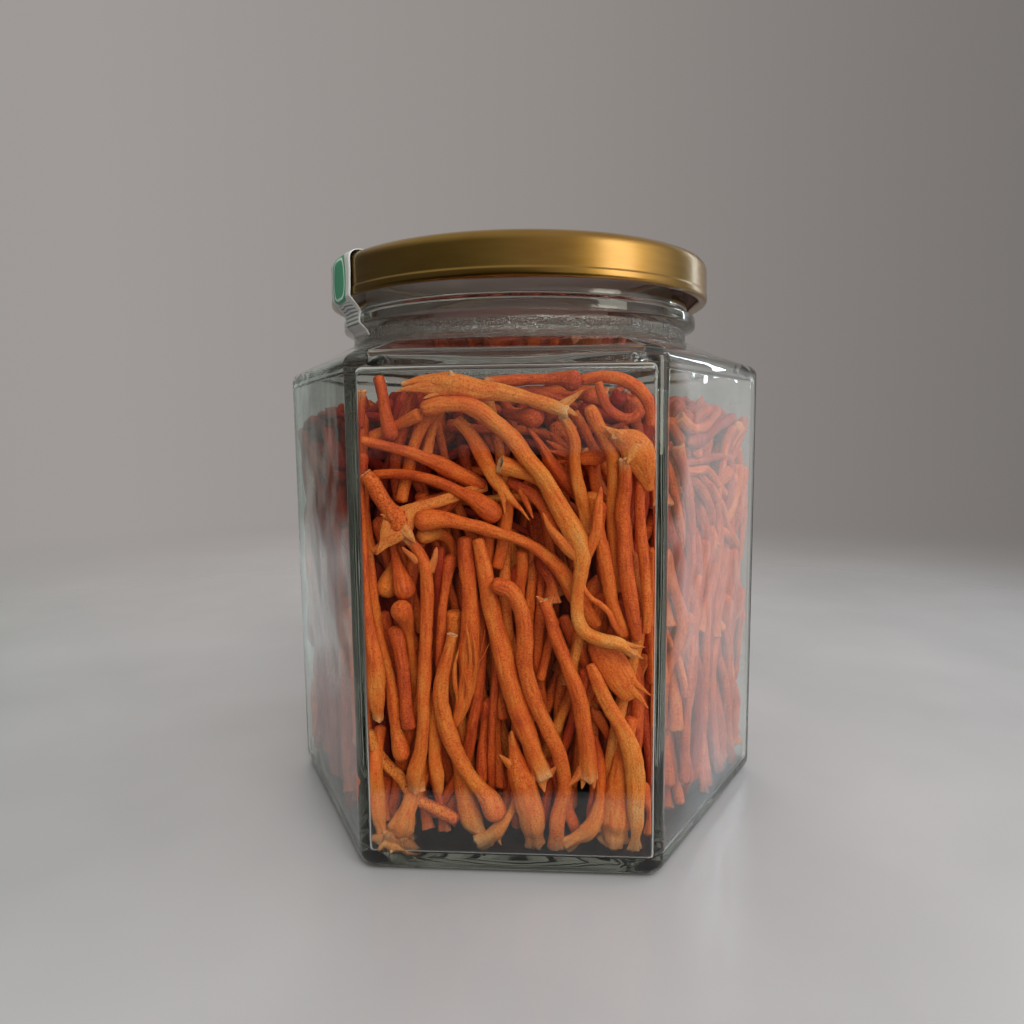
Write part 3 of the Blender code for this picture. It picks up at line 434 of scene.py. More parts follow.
# Each stem: its tint from 0 deep red to 1 tan, or that at its head and foot, how speckled it is from 0 to 1,
# what its head and its foot look like, and its depth over its width. The tint is partly the stem's own colour
# and partly painted shade: stems that lie in shade, high under the shoulder or further back, get a darker
# one.
STEMS = {
    "stem_top_log": ((0.66, 0.68), 0.3, "torn", "torn", 0.9),
    "stem_forked": ((0.58, 0.68), 0.1, "club", "torn", 0.9),
    "stem_fork_arm": ((0.44, 0.64), 0.0, "point", "blunt", 0.8),
    "stem_fork_curl": ((0.52, 0.60), 0.0, "point", "blunt", 0.7),
    "stem_pale_tip": ((0.66, 0.62), 0.1, "white", "blunt", 0.9),
    "stem_taper": ((0.56, 0.64), 0.0, "point", "blunt", 0.8),
    "stem_left_upper": ((0.48, 0.42), 0.0, "club", "blunt", 1.0),
    "stem_left_club": ((0.50, 0.44), 0.0, "club", "blunt", 1.0),
    "stem_cut_left": ((0.50, 0.56), 0.8, "cut", "point", 0.9),
    "stem_left_inner": (0.45, 0.1, "blunt", "blunt", 0.9),
    "stem_long_club": ((0.52, 0.50), 0.1, "club", "blunt", 0.95),
    "stem_hanging_club": ((0.40, 0.36), 0.1, "club", "blunt", 1.0),
    "stem_left_slant": (0.35, 0.7, "blunt", "blunt", 0.9),
    "stem_left_rear": (0.22, 0.1, "blunt", "blunt", 1.0),
    "stem_corner_left": ((0.40, 0.15), 0.2, "torn", "blunt", 0.8),
    "stem_edge_left": ((0.30, 0.60), 0.2, "club", "torn", 0.9),
    "stem_cut_middle": ((0.74, 0.50), 0.0, "cut", "blunt", 1.0),
    "stem_under_fork": ((0.34, 0.52), 0.1, "blunt", "blunt", 0.8),
    "stem_bright": ((0.46, 0.30), 0.0, "point", "blunt", 1.0),
    "stem_end_on": ((0.36, 0.20), 0.4, "club", "blunt", 1.0),
    "stem_right_bent": ((0.60, 0.60), 0.1, "club", "blunt", 0.9),
    "stem_right_straight": ((0.48, 0.40), 0.3, "torn", "blunt", 0.95),
    "stem_dried_base": ((0.62, 0.72), 0.4, "torn", "torn", 0.5),
    "stem_arch": ((0.46, 0.46), 0.1, "blunt", "blunt", 0.9),
    "stem_top_club": ((0.36, 0.42), 0.1, "club", "torn", 1.0),
    "stem_loop": ((0.46, 0.30), 0.1, "blunt", "blunt", 0.9),
    "stem_right_edge": ((0.40, 0.56), 0.3, "club", "blunt", 0.9),
    "stem_right_front": ((0.42, 0.58), 0.1, "club", "blunt", 0.9),
    "stem_middle_short": (0.48, 0.1, "blunt", "blunt", 1.0),
    "stem_bow": ((0.52, 0.56), 0.3, "club", "rooted", 0.95),
    "stem_thick": ((0.52, 0.50), 0.1, "blunt", "torn", 0.95),
    "stem_ribbed": ((0.40, 0.58), 0.0, "blunt", "point", 0.75),
    "stem_low_club": (0.58, 0.2, "club", "cut", 1.0),
    "stem_split_top": ((0.48, 0.56), 0.1, "torn", "rooted", 0.95),
    "stem_club_upper": ((0.42, 0.40), 0.0, "club", "blunt", 1.0),
    "stem_club_outer": ((0.66, 0.40), 0.0, "club", "blunt", 1.0),
    "stem_club_facing": (0.55, 0.0, "club", "blunt", 1.0),
    "stem_upper_bump": ((0.72, 0.34), 0.0, "club", "blunt", 1.0),
    "stem_left_drop": (0.55, 0.3, "club", "blunt", 1.0),
    "stem_left_second": (0.36, 0.4, "blunt", "blunt", 1.0),
    "stem_shadow_left": (0.20, 0.0, "blunt", "blunt", 1.0),
    "stem_behind_club": (0.50, 0.0, "blunt", "blunt", 0.9),
    "stem_ragged_foot": ((0.46, 0.54), 0.1, "cut", "torn", 0.95),
    "stem_right_second": (0.40, 0.0, "blunt", "blunt", 1.0),
    "stem_broad_leaf": ((0.50, 0.60), 0.0, "blunt", "blunt", 0.4),
    "stem_right_foot": ((0.60, 0.85), 0.2, "blunt", "rooted", 0.75),
    "stem_wide_foot": ((0.50, 0.74), 0.0, "blunt", "rooted", 0.9),
    "stem_turned_foot": ((0.38, 0.80), 0.0, "blunt", "rooted", 0.9),
    "stem_heavy_foot": ((0.48, 0.74), 0.2, "point", "rooted", 0.9),
    "stem_low_slant": ((0.74, 0.52), 0.8, "blunt", "blunt", 0.95),
    "stem_pale_foot": ((0.56, 0.80), 0.1, "blunt", "rooted", 0.9),
    "stem_pointed_foot": (0.62, 0.0, "blunt", "point", 0.85),
    "stem_corner_foot": ((0.52, 0.78), 0.0, "blunt", "rooted", 0.85),
    "stem_low_pink": ((0.58, 0.80), 0.0, "blunt", "rooted", 0.9),
    "stem_frayed_foot": ((0.62, 0.88), 0.1, "blunt", "rooted", 0.8),
}
# Small arms, splinters and shreds on a stem: their points as (x, height, half thickness) from the tip.
SHREDS = {
    "stem_split_top": [
        [(-13.2, 60.4, 0.35), (-13.5, 58.9, 0.6), (-14.3, 56.6, 0.8)],
        [(-19.2, 60.6, 0.3), (-18.2, 59.6, 0.5), (-16.8, 58.4, 0.8)]],
    "stem_thick": [
        [(8.7, 19.3, 0.2), (7.9, 18.2, 0.6), (6.4, 17.2, 1.0)],
        [(6.4, 14.6, 0.3), (6.1, 16.0, 0.8), (5.7, 17.8, 1.1)],
        [(4.4, 16.0, 0.3), (4.6, 17.4, 0.6), (4.9, 19.0, 0.9)]],
    "stem_heavy_foot": [
        [(-1.7, 21.1, 0.25), (-0.6, 20.1, 0.6), (1.2, 18.4, 1.1)],
        [(0.4, 25.6, 0.3), (0.6, 23.6, 0.5), (1.0, 21.2, 0.9)]],
    "stem_ribbed": [
        [(-9.4, 41.6, 0.12), (-10.1, 38.5, 0.32), (-10.2, 35.0, 0.42), (-9.7, 31.5, 0.3),
         (-10.2, 28.2, 0.12)],
        [(-9.0, 39.9, 0.1), (-8.7, 37.2, 0.25), (-9.2, 34.0, 0.35), (-9.3, 31.0, 0.3)],
        [(-4.4, 45.4, 0.06), (-4.7, 43.4, 0.09), (-5.3, 40.6, 0.12)],
        [(-3.6, 42.8, 0.06), (-4.6, 40.8, 0.1), (-5.9, 38.6, 0.12)],
        [(-7.9, 46.5, 0.1), (-7.4, 43.0, 0.32), (-7.2, 39.5, 0.34), (-7.9, 36.2, 0.3)],
        [(-6.8, 45.0, 0.1), (-6.3, 41.5, 0.3), (-6.3, 38.0, 0.3), (-7.2, 35.0, 0.25)],
        [(-8.4, 37.0, 0.1), (-8.0, 34.0, 0.3), (-8.6, 31.0, 0.3)]],
    "stem_bright": [
        [(7.6, 81.9, 0.15), (9.4, 80.4, 0.5), (12.0, 78.2, 0.6)],
        [(7.4, 80.2, 0.15), (9.2, 79.2, 0.5), (12.2, 77.4, 0.7)],
        [(7.9, 78.4, 0.15), (9.8, 78.0, 0.5), (12.6, 76.8, 0.7)],
        [(8.8, 83.2, 0.12), (10.2, 81.4, 0.4), (12.4, 79.0, 0.6)],
        [(9.0, 76.4, 0.2), (10.8, 76.6, 0.5), (13.0, 76.2, 0.7)],
        [(18.6, 77.4, 0.4), (16.4, 77.3, 1.4), (13.8, 77.0, 1.2)]],
    "stem_top_log": [
        [(-19.8, 89.4, 0.15), (-17.4, 90.0, 0.5), (-14.4, 90.6, 0.9)],
        [(-14.6, 88.2, 0.2), (-12.6, 89.0, 0.6), (-10.2, 90.0, 1.1)],
        [(13.4, 88.9, 0.25), (12.0, 87.8, 0.6), (10.2, 86.6, 0.9)],
        [(12.4, 84.9, 0.3), (11.2, 85.7, 0.6), (9.2, 86.4, 0.9)]],
    "stem_forked": [
        [(24.4, 40.4, 0.2), (22.8, 41.6, 0.4), (21.2, 42.6, 0.6)],
        [(24.8, 42.4, 0.15), (23.0, 42.6, 0.4), (21.0, 43.2, 0.6)]],
    "stem_taper": [
        [(4.0, 66.0, 0.1), (2.6, 67.8, 0.3), (0.4, 70.2, 0.6)],
        [(-0.4, 67.2, 0.12), (-0.6, 69.0, 0.35), (-0.9, 71.2, 0.8)]],
    "stem_under_fork": [
        [(4.6, 66.6, 0.2), (3.8, 68.6, 0.5), (2.6, 71.4, 0.7)],
        [(10.6, 60.0, 0.3), (8.8, 63.0, 0.6), (7.0, 66.6, 0.8)]],
    "stem_ragged_foot": [
        [(11.5, 15.9, 0.3), (12.4, 17.0, 0.7), (13.6, 18.8, 1.0)],
        [(15.8, 15.6, 0.3), (15.6, 17.0, 0.7), (15.2, 18.8, 1.0)],
        [(13.6, 15.4, 0.25), (13.9, 16.8, 0.6), (14.2, 18.6, 0.9)],
        [(5.4, 51.7, 0.2), (6.2, 51.0, 0.5), (7.4, 49.3, 0.8)],
        [(8.2, 51.7, 0.2), (7.8, 50.8, 0.5), (7.4, 49.3, 0.8)]],
    "stem_frayed_foot": [
        [(-5.2, 3.8, 0.15), (-4.3, 4.7, 0.5), (-3.0, 6.0, 0.9)],
        [(-2.0, 3.6, 0.2), (-2.4, 4.7, 0.5), (-2.2, 6.4, 0.9)],
        [(-3.6, 3.3, 0.2), (-3.5, 4.4, 0.6), (-3.0, 6.0, 0.9)]],
    "stem_dried_base": [
        [(17.4, 82.7, 0.2), (18.8, 81.8, 0.6), (20.4, 80.9, 1.0)],
        [(22.0, 76.8, 0.5), (22.6, 77.9, 1.1), (23.4, 79.2, 1.6)]],
    "stem_long_club": [
        [(3.0, 62.9, 0.15), (3.4, 62.3, 0.4), (4.0, 61.6, 0.6)]],
    "stem_broad_leaf": [
        [(25.6, 31.0, 0.15), (24.4, 32.6, 0.5), (22.4, 34.6, 1.0)],
        [(26.0, 33.4, 0.15), (24.8, 34.4, 0.4), (22.8, 36.0, 0.9)]],
    "stem_end_on": [
        [(4.2, 81.6, 0.2), (4.0, 83.0, 0.5), (3.4, 84.4, 0.8)]],
}
# Knots that carry a stem on into the pile beyond its packed head, or beyond its packed foot:
# (x, height, depth, half thickness), in order from the head end to the foot end.
BEFORE_HEAD = {
    "stem_top_club": [(11.8, 90.9, -39.9, 1.7)],
    "stem_low_pink": [(-16.4, 19.6, -38.0, 0.9), (-18.0, 14.8, -40.6, 1.0)],
    "stem_corner_foot": [(-24.6, 26.0, -38.4, 0.9)],
    "stem_frayed_foot": [(2.4, 15.0, -38.4, 0.9), (0.9, 11.4, -40.2, 0.9)],
    "stem_wide_foot": [(22.6, 28.5, -37.0, 1.0), (21.3, 23.0, -38.8, 1.2)],
    "stem_turned_foot": [(15.6, 25.0, -36.6, 0.9), (16.8, 20.0, -38.4, 0.95)],
    "stem_pale_foot": [(-11.8, 26.0, -36.8, 0.9), (-10.3, 21.5, -38.4, 1.0)],
    "stem_pointed_foot": [(-14.6, 33.0, -38.6, 0.7)],
}
BEYOND_FOOT = {
    "stem_low_pink": [(-22.1, 4.0, -42.3, 1.7)],
    "stem_fork_arm": [(15.6, 61.6, -43.4, 1.0), (14.2, 58.8, -42.9, 1.0)],
    "stem_fork_curl": [(14.0, 53.2, -43.2, 0.5), (13.1, 55.4, -42.9, 0.5)],
    "stem_club_upper": [(-21.6, 64.5, -37.4, 0.8)],
    "stem_club_outer": [(-19.6, 63.5, -34.2, 0.8)],
    "stem_pale_tip": [(14.4, 64.5, -39.0, 1.05), (14.6, 60.5, -39.6, 0.8)],
}
# How much wider a stem is than it is packed.
WIDER = {"stem_broad_leaf": 1.35, "stem_dried_base": 1.2, "stem_cut_left": 1.1, "stem_wide_foot": 1.3,
         "stem_heavy_foot": 1.12, "stem_low_pink": 1.8, "stem_corner_foot": 1.35, "stem_turned_foot": 1.15,
         "stem_pale_foot": 1.1, "stem_right_straight": 1.25, "stem_cut_middle": 1.1, "stem_forked": 0.86,
         "stem_top_log": 0.9, "stem_long_club": 0.93, "stem_ribbed": 1.15}
# How far a stem's head and foot lie from where they are packed, each as (x, depth, height).
SHIFTED = {"stem_top_log": ((0.0, 0.0, 0.4), (-0.6, 0.0, -2.0)),
           "stem_top_club": ((0.0, 0.0, 0.0), (-3.5, 0.0, -1.0)),
           "stem_cut_middle": ((-0.3, -1.2, -0.4), (0.0, -1.2, 0.0)),
           "stem_hanging_club": ((0.9, 0.0, -0.2), (-0.6, 0.0, 0.0))}
# Broad torn sheets of flesh: the points along one as (x, height, half width), then its (tint, paleness,
# thickness over width, how far its end sinks back). Places are read on the front plane.
SHEETS = {
    "stem_cut_left": [
        ([(-24.1, 59.9, 0.25), (-23.0, 61.4, 0.8), (-21.6, 63.4, 2.1), (-20.1, 65.4, 2.8), (-18.4, 66.9, 2.1),
          (-15.8, 68.3, 1.2), (-12.4, 69.4, 1.0), (-8.3, 70.6, 1.0), (-4.0, 72.0, 0.9)],
         (0.62, 0.30, 0.3, 5.0)),
        ([(-23.2, 67.0, 0.15), (-22.2, 66.6, 0.6), (-20.4, 66.0, 1.2)], (0.60, 0.3, 0.5, 0.0)),
        ([(-17.2, 62.0, 0.2), (-17.9, 63.0, 0.7), (-19.2, 64.6, 1.3)], (0.66, 0.5, 0.5, 0.0))],
    "stem_dried_base": [
        ([(18.8, 81.3, 0.8), (20.4, 80.6, 1.7), (22.4, 79.4, 2.5), (23.9, 77.0, 2.7), (25.0, 74.2, 1.9),
          (25.6, 71.6, 0.9)], (0.58, 0.15, 0.6, 0.0)),
        ([(22.2, 81.4, 0.3), (22.8, 80.2, 1.0), (23.6, 78.2, 1.6), (24.4, 75.6, 1.3)],
         (0.64, 0.3, 0.6, 0.0))],
    "stem_top_log": [
        ([(-18.8, 89.7, 0.2), (-16.4, 90.0, 0.8), (-13.6, 90.4, 1.6), (-10.6, 90.6, 2.1), (-8.6, 90.4, 1.8)],
         (0.62, 0.25, 0.5, 0.0)),
        ([(-9.8, 92.5, 0.4), (-9.5, 91.0, 0.9), (-9.3, 88.4, 0.7)], (0.76, 0.7, 0.6, 0.0))],
    "stem_forked": [
        ([(6.6, 67.0, 0.2), (7.5, 64.9, 0.6), (9.2, 62.6, 1.0), (11.2, 60.6, 1.2), (13.2, 58.8, 1.0)],
         (0.54, 0.15, 0.6, 0.0)),
        ([(8.8, 67.6, 0.2), (10.2, 65.2, 0.6), (11.8, 62.6, 0.9), (13.4, 60.2, 0.9)],
         (0.62, 0.25, 0.6, 0.0))],
}
STANDS_AT = 3.9                           # height of the last knot of a stem that stands on the jar's floor
HEAD_DOME = 0.8                           # a packed stem's head is a higher dome than its foot,
FOOT_DOME = 0.35                          # both as a share of the half thickness
STEP = 0.48                               # rings of a front stem are this far apart
SIDES = 24
FACING_FRONT = np.array((0.0, -1.0, 0.0))
PROUD = 0.6                               # how far a shred's root stands out of its stem, in half thicknesses
RIBBED_PROUD = 1.7                        # those of the ribbed stem hang clear of it
SLIM = 1.3                                # a shred that is nowhere wider than this either way
SLIM_SIDES = 10                           # has this many sides
SHRED_STEP = 0.35
SHRED_SPECKS = 0.4                        # of its stem's specks
STEM_SWELL = 1.05                         # a round stem is a little fuller than its six-sided solid
PALE_LENGTH = 3.0                         # how far up from a torn foot the stalk turns pale


def packed_line(name):
    """Centres and half thicknesses of a packed stem's rings, read one ring after another from its head."""
    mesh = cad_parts[name].data
    corners = np.array([v.co for v in mesh.vertices]) / MM
    spots, index = np.unique(np.round(corners, 3), axis=0, return_inverse=True)
    index = index.ravel()
    beside = [set() for _ in spots]
    for edge in mesh.edges:
        a, b = (index[v] for v in edge.vertices)
        if a != b:
            beside[a].add(b)
            beside[b].add(a)
    for start in range(len(spots)):
        seen, rings = {start}, [{start}]
        while rings[-1]:
            rings.append(set().union(*(beside[v] for v in rings[-1])) - seen)
            seen |= rings[-1]
        rings.pop()
        if any(len(ring) != RING_SIDES for ring in rings[1:-1]) or len(rings[-1]) != 1:
            continue
        centres = np.array([spots[list(ring)].mean(0) for ring in rings[1:-1]])
        girths = np.array([np.linalg.norm(spots[list(ring)] - centre, axis=1).mean()
                           for ring, centre in zip(rings[1:-1], centres)])
        dome = np.linalg.norm(spots[start] - centres[0]) / girths[0]
        if dome > (HEAD_DOME + FOOT_DOME) / 2:
            return np.column_stack([centres, girths])
    raise ValueError(f"{name} has no head")


def smooth_line(knots, step):
    """Points every step along a smooth curve through the knots, and how far along each is."""
    knots = np.asarray(knots, float)
    gaps = np.linalg.norm(np.diff(knots[:, :3], axis=0), axis=1) ** 0.5
    at = np.concatenate([[0], np.cumsum(gaps)])
    slopes = np.gradient(knots, at, axis=0)
    fine = []
    for i in range(len(knots) - 1):
        gap = at[i + 1] - at[i]
        s = np.linspace(0, 1, 16, endpoint=False)[:, None]
        fine.append((2 * s ** 3 - 3 * s ** 2 + 1) * knots[i] + (s ** 3 - 2 * s ** 2 + s) * gap * slopes[i]
                    + (3 * s ** 2 - 2 * s ** 3) * knots[i + 1] + (s ** 3 - s ** 2) * gap * slopes[i + 1])
    fine = np.vstack(fine + [knots[-1:]])
    gone = np.concatenate([[0], np.cumsum(np.linalg.norm(np.diff(fine[:, :3], axis=0), axis=1))])
    stops = np.linspace(0, gone[-1], max(3, ceil(gone[-1] / step) + 1))
    return np.column_stack([np.interp(stops, gone, column) for column in fine.T]), stops


def folds(along, around, pitch, count, rng):
    """Smooth random relief from -1 to 1, in cells pitch long and count to a turn."""
    table = rng.uniform(-1, 1, (int(along.max() / pitch) + 3, count))
    u, v = along / pitch, (around / (2 * pi) * count) % count
    i, j = np.floor(u).astype(int), np.floor(v).astype(int)
    u, v = u - i, v - j
    u, v = u * u * (3 - 2 * u), v * v * (3 - 2 * v)
    here, round_on = j % count, (j + 1) % count
    return ((table[i, here] * (1 - u) + table[i + 1, here] * u) * (1 - v)
            + (table[i, round_on] * (1 - u) + table[i + 1, round_on] * u) * v)


def teeth(sides, rng):
    """Heights from 0 to 1 round a torn end: a few uneven teeth with notches between them."""
    count = rng.integers(3, 6)
    spots = rng.uniform(0, sides, count)
    gap = np.abs((np.arange(sides)[:, None] - spots + sides / 2) % sides - sides / 2)
    return np.max(rng.uniform(0.3, 1, count) * np.clip(1 - gap / (sides * 0.13), 0, 1), axis=1)


def end_rings(style, girth, sides, rng):
    """How a stem ends: for each ring how far out and how wide it is by direction, how pale, and how far into
    its sunken middle it lies, which the material paints dark as painted shade.
    """
    even = np.ones(sides)
    if style in ("club", "blunt", "white"):
        dome = 0.6 if style == "blunt" else 1.0
        pale = 1.0 if style == "white" else 0.0
        return [(girth * dome * sin(t) * even, cos(t) ** 0.9 * even, pale, 0.0)
                for t in np.linspace(0.22, pi / 2 - 0.1, 7)]
    if style == "point":
        return [(girth * 2.0 * t * even, (1 - t ** 1.5) * even, 0.2 * t, 0.0)
                for t in np.linspace(0.15, 0.97, 6)]
    rough = rng.uniform(-1, 1, sides)
    if style == "cut":
        return [(girth * (0.12 + 0.05 * rough), 1.03 * even, 0.45, 0.0),
                (girth * (0.20 + 0.08 * rough), 0.93 * even, 1.0, 0.0),
                (girth * (0.14 + 0.04 * rough), 0.70 * even, 1.0, 0.0),
                (girth * (0.02 + 0.04 * rough), 0.38 * even, 0.9, 0.25),
                (girth * -0.16 * even, 0.13 * even, 0.2, 0.9)]
    lumps = rng.uniform(-1, 1, sides)
    if style == "rooted":
        return [(girth * (0.12 + 0.08 * lumps), 1.02 + 0.12 * rough, 0.7, 0.0),
                (girth * (0.28 + 0.16 * rough), 0.90 + 0.14 * lumps, 1.0, 0.0),
                (girth * (0.36 + 0.18 * lumps), 0.62 + 0.14 * rough, 1.0, 0.15),
                (girth * (0.30 + 0.14 * rough), 0.32 * even, 0.8, 0.35)]
    tooth = teeth(sides, rng)
    return [(girth * (0.14 + 0.25 * tooth + 0.05 * lumps), 1.04 + 0.05 * lumps, 0.6, 0.0),
            (girth * (0.30 + 0.62 * tooth + 0.08 * lumps), 0.98 + 0.07 * rough, 0.9, 0.0),
            (girth * (0.42 + 0.62 * tooth + 0.10 * rough), 0.80 + 0.10 * lumps, 1.0, 0.0),
            (girth * (0.42 + 0.40 * tooth + 0.14 * lumps), 0.58 + 0.10 * rough, 0.7, 0.2),
            (girth * (0.38 + 0.20 * tooth + 0.16 * rough), 0.34 + 0.05 * lumps, 0.8, 0.1),
            (girth * (0.42 + 0.10 * rough), 0.12 * even, 0.5, 0.3)]


def stem(knots, look, rng, step=STEP, sides=SIDES, facing=None):
    """Points, faces and marks of one stem along knots of (x, y, z, half thickness), head first."""
    tint, specks, head, foot, flat = look
    line, gone = smooth_line(knots, step)
    centres, girths = line[:, :3].copy(), np.maximum(line[:, 3], 0.05)
    left = gone[-1] - gone
    if head == "club":                # a club is fullest just behind its tip, with a slimmer neck below
        fullest = girths[0]
        girths = girths * (1 + 0.10 * np.exp(-((gone - 0.6 * fullest) / fullest) ** 2)
                           - 0.12 * np.exp(-((gone - 4.2 * fullest) / (1.7 * fullest)) ** 2))
    tangents = np.gradient(centres, gone, axis=0)
    tangents /= np.linalg.norm(tangents, axis=1)[:, None]
    if facing is None:
        facing = np.linalg.eigh(tangents.T @ tangents)[1][:, 0]
    side = np.cross(tangents, facing)
    side /= np.maximum(np.linalg.norm(side, axis=1), 1e-6)[:, None]
    front = np.cross(side, tangents)
    calm = np.clip(np.minimum(gone, left) / 4.0, 0, 1)
    for axis in (side, front):        # the stalk wanders a little between its ends
        drift = 0.14 * folds(gone + 40, np.ones(1), 6.0, 3, rng)
        drift += 0.05 * folds(gone + 40, np.ones(1), 2.2, 3, rng)
        centres += axis * (drift * calm * girths)[:, None]
    around = np.linspace(0, 2 * pi, sides, endpoint=False)[None, :]
    along = gone[:, None]
    twist = around + along * rng.uniform(-0.06, 0.06)
    whole = np.clip(np.minimum(gone, left) / (1.3 * girths), 0.12, 1)[:, None]
    stalk = np.clip((along - 2.5) / 8.0, 0.3, 1.0) if head == "club" else 1.0
    # Broad folds and narrow ones, which a club has fewer of, then wrinkles, then fuller and leaner lengths.
    relief = (0.12 * folds(along, twist, 9.0, 5, rng) + 0.09 * folds(along, twist, 4.5, 9, rng)) * stalk
    relief += 0.022 * folds(along, twist, 1.3, 11, rng)
    relief = relief * whole + 0.06 * folds(along, 0 * twist, 5.5, 2, rng)
    for _ in range(rng.poisson(gone[-1] / 20.0)):            # kinks where the stalk bent as it dried
        spot = rng.uniform(3, max(gone[-1] - 3, 3.1))
        one_side = 0.6 + 0.4 * np.cos(twist - rng.uniform(0, 6))
        relief -= 0.10 * np.exp(-((along - spot) / 0.5) ** 2) * one_side
    pale = np.zeros(len(gone))
    for style, away, end in ((head, gone, 0), (foot, left, -1)):
        if style in ("torn", "rooted", "white"):
            length = PALE_LENGTH * (1.7 if style == "rooted" else 1.0)
            pale = np.maximum(pale, 0.65 * np.clip(1 - away / length, 0, 1) ** 1.3)
        if style in ("torn", "rooted"):   # a foot widens into ridges where it was rooted
            widening = (2.0 if style == "rooted" else 1.0) * (0.5 if style == head else 1.0)
            spread = widening * np.clip(1 - away / (2.8 * girths[end] + 0.4), 0, 1)[:, None] ** 1.6
            ridges = np.cos(rng.integers(3, 6) * (around - rng.uniform(0, 6)))
            relief = relief + spread * (0.14 + 0.13 * ridges + 0.10 * folds(along, twist, 0.9, 8, rng))
    shape = girths[:, None] * STEM_SWELL * (1 + relief)
    toned = np.interp(gone / gone[-1], (0, 1), np.broadcast_to(tint, 2))
    toned = toned + 0.07 * folds(gone, np.ones(1), 6.0, 3, rng) - 0.05 * np.exp(-gone / 5.0)
    toned += 0.10 * np.exp(-left / 6.0) * (foot == "torn")
    clubbed = np.clip(1 - gone / 6.0, 0, 1) if head == "club" else np.zeros(len(gone))
    rings, grain, shades = [], [], []

    def ring_at(index, reach, width, pale_here, hollow_here, outward):
        radial = (side[index] * (shape[index] * np.cos(around[0]) * width)[:, None]
                  + front[index] * (shape[index] * np.sin(around[0]) * flat * width)[:, None])
        rings.append(centres[index] + outward * tangents[index] * np.reshape(reach, (-1, 1)) + radial)
        grain.append(np.column_stack([girths[index] * np.cos(around[0]) * width,
                                      girths[index] * np.sin(around[0]) * width,
                                      gone[index] + outward * reach * np.ones(sides)]))
        shades.append(np.broadcast_to((toned[index], pale_here, hollow_here, clubbed[index]), (sides, 4)))

    for reach, width, pale_here, hollow_here in reversed(end_rings(head, girths[0], sides, rng)):
        ring_at(0, reach, width, max(pale_here, pale[0]), hollow_here, -1.0)
    for index in range(len(gone)):
        ring_at(index, 0.0, 1.0, pale[index], 0.0, 1.0)
    for reach, width, pale_here, hollow_here in end_rings(foot, girths[-1], sides, rng):
        ring_at(len(gone) - 1, reach, width, max(pale_here, pale[-1]), hollow_here, 1.0)
    points, faces = skin(rings)
    shades = np.vstack(shades + [shades[0][:1], shades[-1][:1]])
    grain = np.vstack(grain + [grain[0].mean(0, keepdims=True), grain[-1].mean(0, keepdims=True)])
    marks = {"grain": grain + rng.uniform(0, 200, 3), "specks": np.full(len(points), specks)}
    marks.update(zip(("tint", "pale", "hollow", "club"), shades.T))
    return points, faces, marks


def fringe(knots, end, style, tint, rng):
    """Fibres round a torn end or stubs round a rooted one, 0 for the head and -1 for the foot."""
    centre, girth = knots[end][:3], knots[end][3]
    outward = knots[end][:3] - knots[-2 if end else 1][:3]
    outward /= np.linalg.norm(outward)
    # How many, how long and how thick they are in half thicknesses of the stem, how far they lean out.
    count, length_range, thick, splay, tip = {
        "torn": (13, (0.4, 1.1), 0.15, (-0.1, 0.7), "point"),
        "rooted": (8, (0.4, 0.75), 0.40, (0.1, 0.9), "blunt")}[style]
    pieces = []
    for _ in range(rng.integers(count - 3, count + 2)):
        radial = np.cross(outward, rng.normal(size=3))
        radial /= np.linalg.norm(radial)
        root = centre + radial * girth * rng.uniform(0.3, 0.8) - outward * girth * 0.25
        way = outward + radial * rng.uniform(*splay)
        length = girth * rng.uniform(*length_range)
        curl = radial * rng.uniform(-0.3, 0.3) * length
        taper = 1.05 if tip == "point" else 1.5
        piece = np.array([(*(root + way * length * t + curl * t * t), girth * thick * (taper - t) / taper)
                          for t in (1.0, 0.65, 0.3, 0.0)])
        points, faces, marks = stem(piece, (tint + 0.05, 0.2, tip, "blunt", 0.7), rng, step=0.3, sides=8)
        marks["pale"] = marks["pale"] + rng.uniform(0.2, 1.0)
        pieces.append((points, faces, marks))
    return pieces


def joined(parts):
    """Several (points, faces, marks) as one."""
    starts = np.cumsum([0] + [len(points) for points, _, _ in parts])
    points = np.vstack([points for points, _, _ in parts])
    faces = []
    for size in (4, 3):
        group = [face + start for (_, groups, _), start in zip(parts, starts)
                 for face in groups if face.shape[1] == size]
        faces.append(np.vstack(group))
    marks = {mark: np.concatenate([part[2][mark] for part in parts]) for mark in parts[0][2]}
    return points, faces, marks


def seen_at(x, z, depth):
    """The point at a depth that shows at (x, z) on the front plane to an eye at EYE."""
    reach = (depth - EYE[1]) / (FRONT - EYE[1])
    return np.array((EYE[0] + reach * (x - EYE[0]), depth, EYE[2] + reach * (z - EYE[2])))


# Dried fungus, air-dried: dull and finely wrinkled lengthwise, its skin grained with dark red specks.
# Stalks go from deep red-orange to tan, and torn flesh is cream. The grain mark is in millimetres, so the
# scales make wrinkles 0.56 mm apart (1.8), specks of 0.34 mm (2.9), pimples of 0.45 mm (2.2) on the clubs
# and blotches of 4 mm (0.25).
LEAST_SPECKS = 0.24
fungus, tree = new_material("dried cordyceps, air-dried")
grain, tint, pale, hollow, specks, club = (lay(tree, "Attribute", attribute_name=mark) for mark in
                                           ("grain", "tint", "pale", "hollow", "specks", "club"))
lengthwise = lay(tree, "Mapping", {"Vector": (grain, "Vector"), "Scale": (1.0, 1.0, 0.12)})
crosswise = lay(tree, "Mapping", {"Vector": (grain, "Vector"), "Scale": (1.0, 1.0, 1.3)})
wrinkles = lay(tree, "TexNoise", {"Vector": (lengthwise, 0), "Scale": 1.8, "Detail": 4.0,
                                  "Roughness": 0.6})
blotches = lay(tree, "TexNoise", {"Vector": (grain, "Vector"), "Scale": 0.25, "Detail": 3.0})
fine = lay(tree, "TexNoise", {"Vector": (crosswise, 0), "Scale": 2.9, "Detail": 3.0, "Roughness": 0.7})
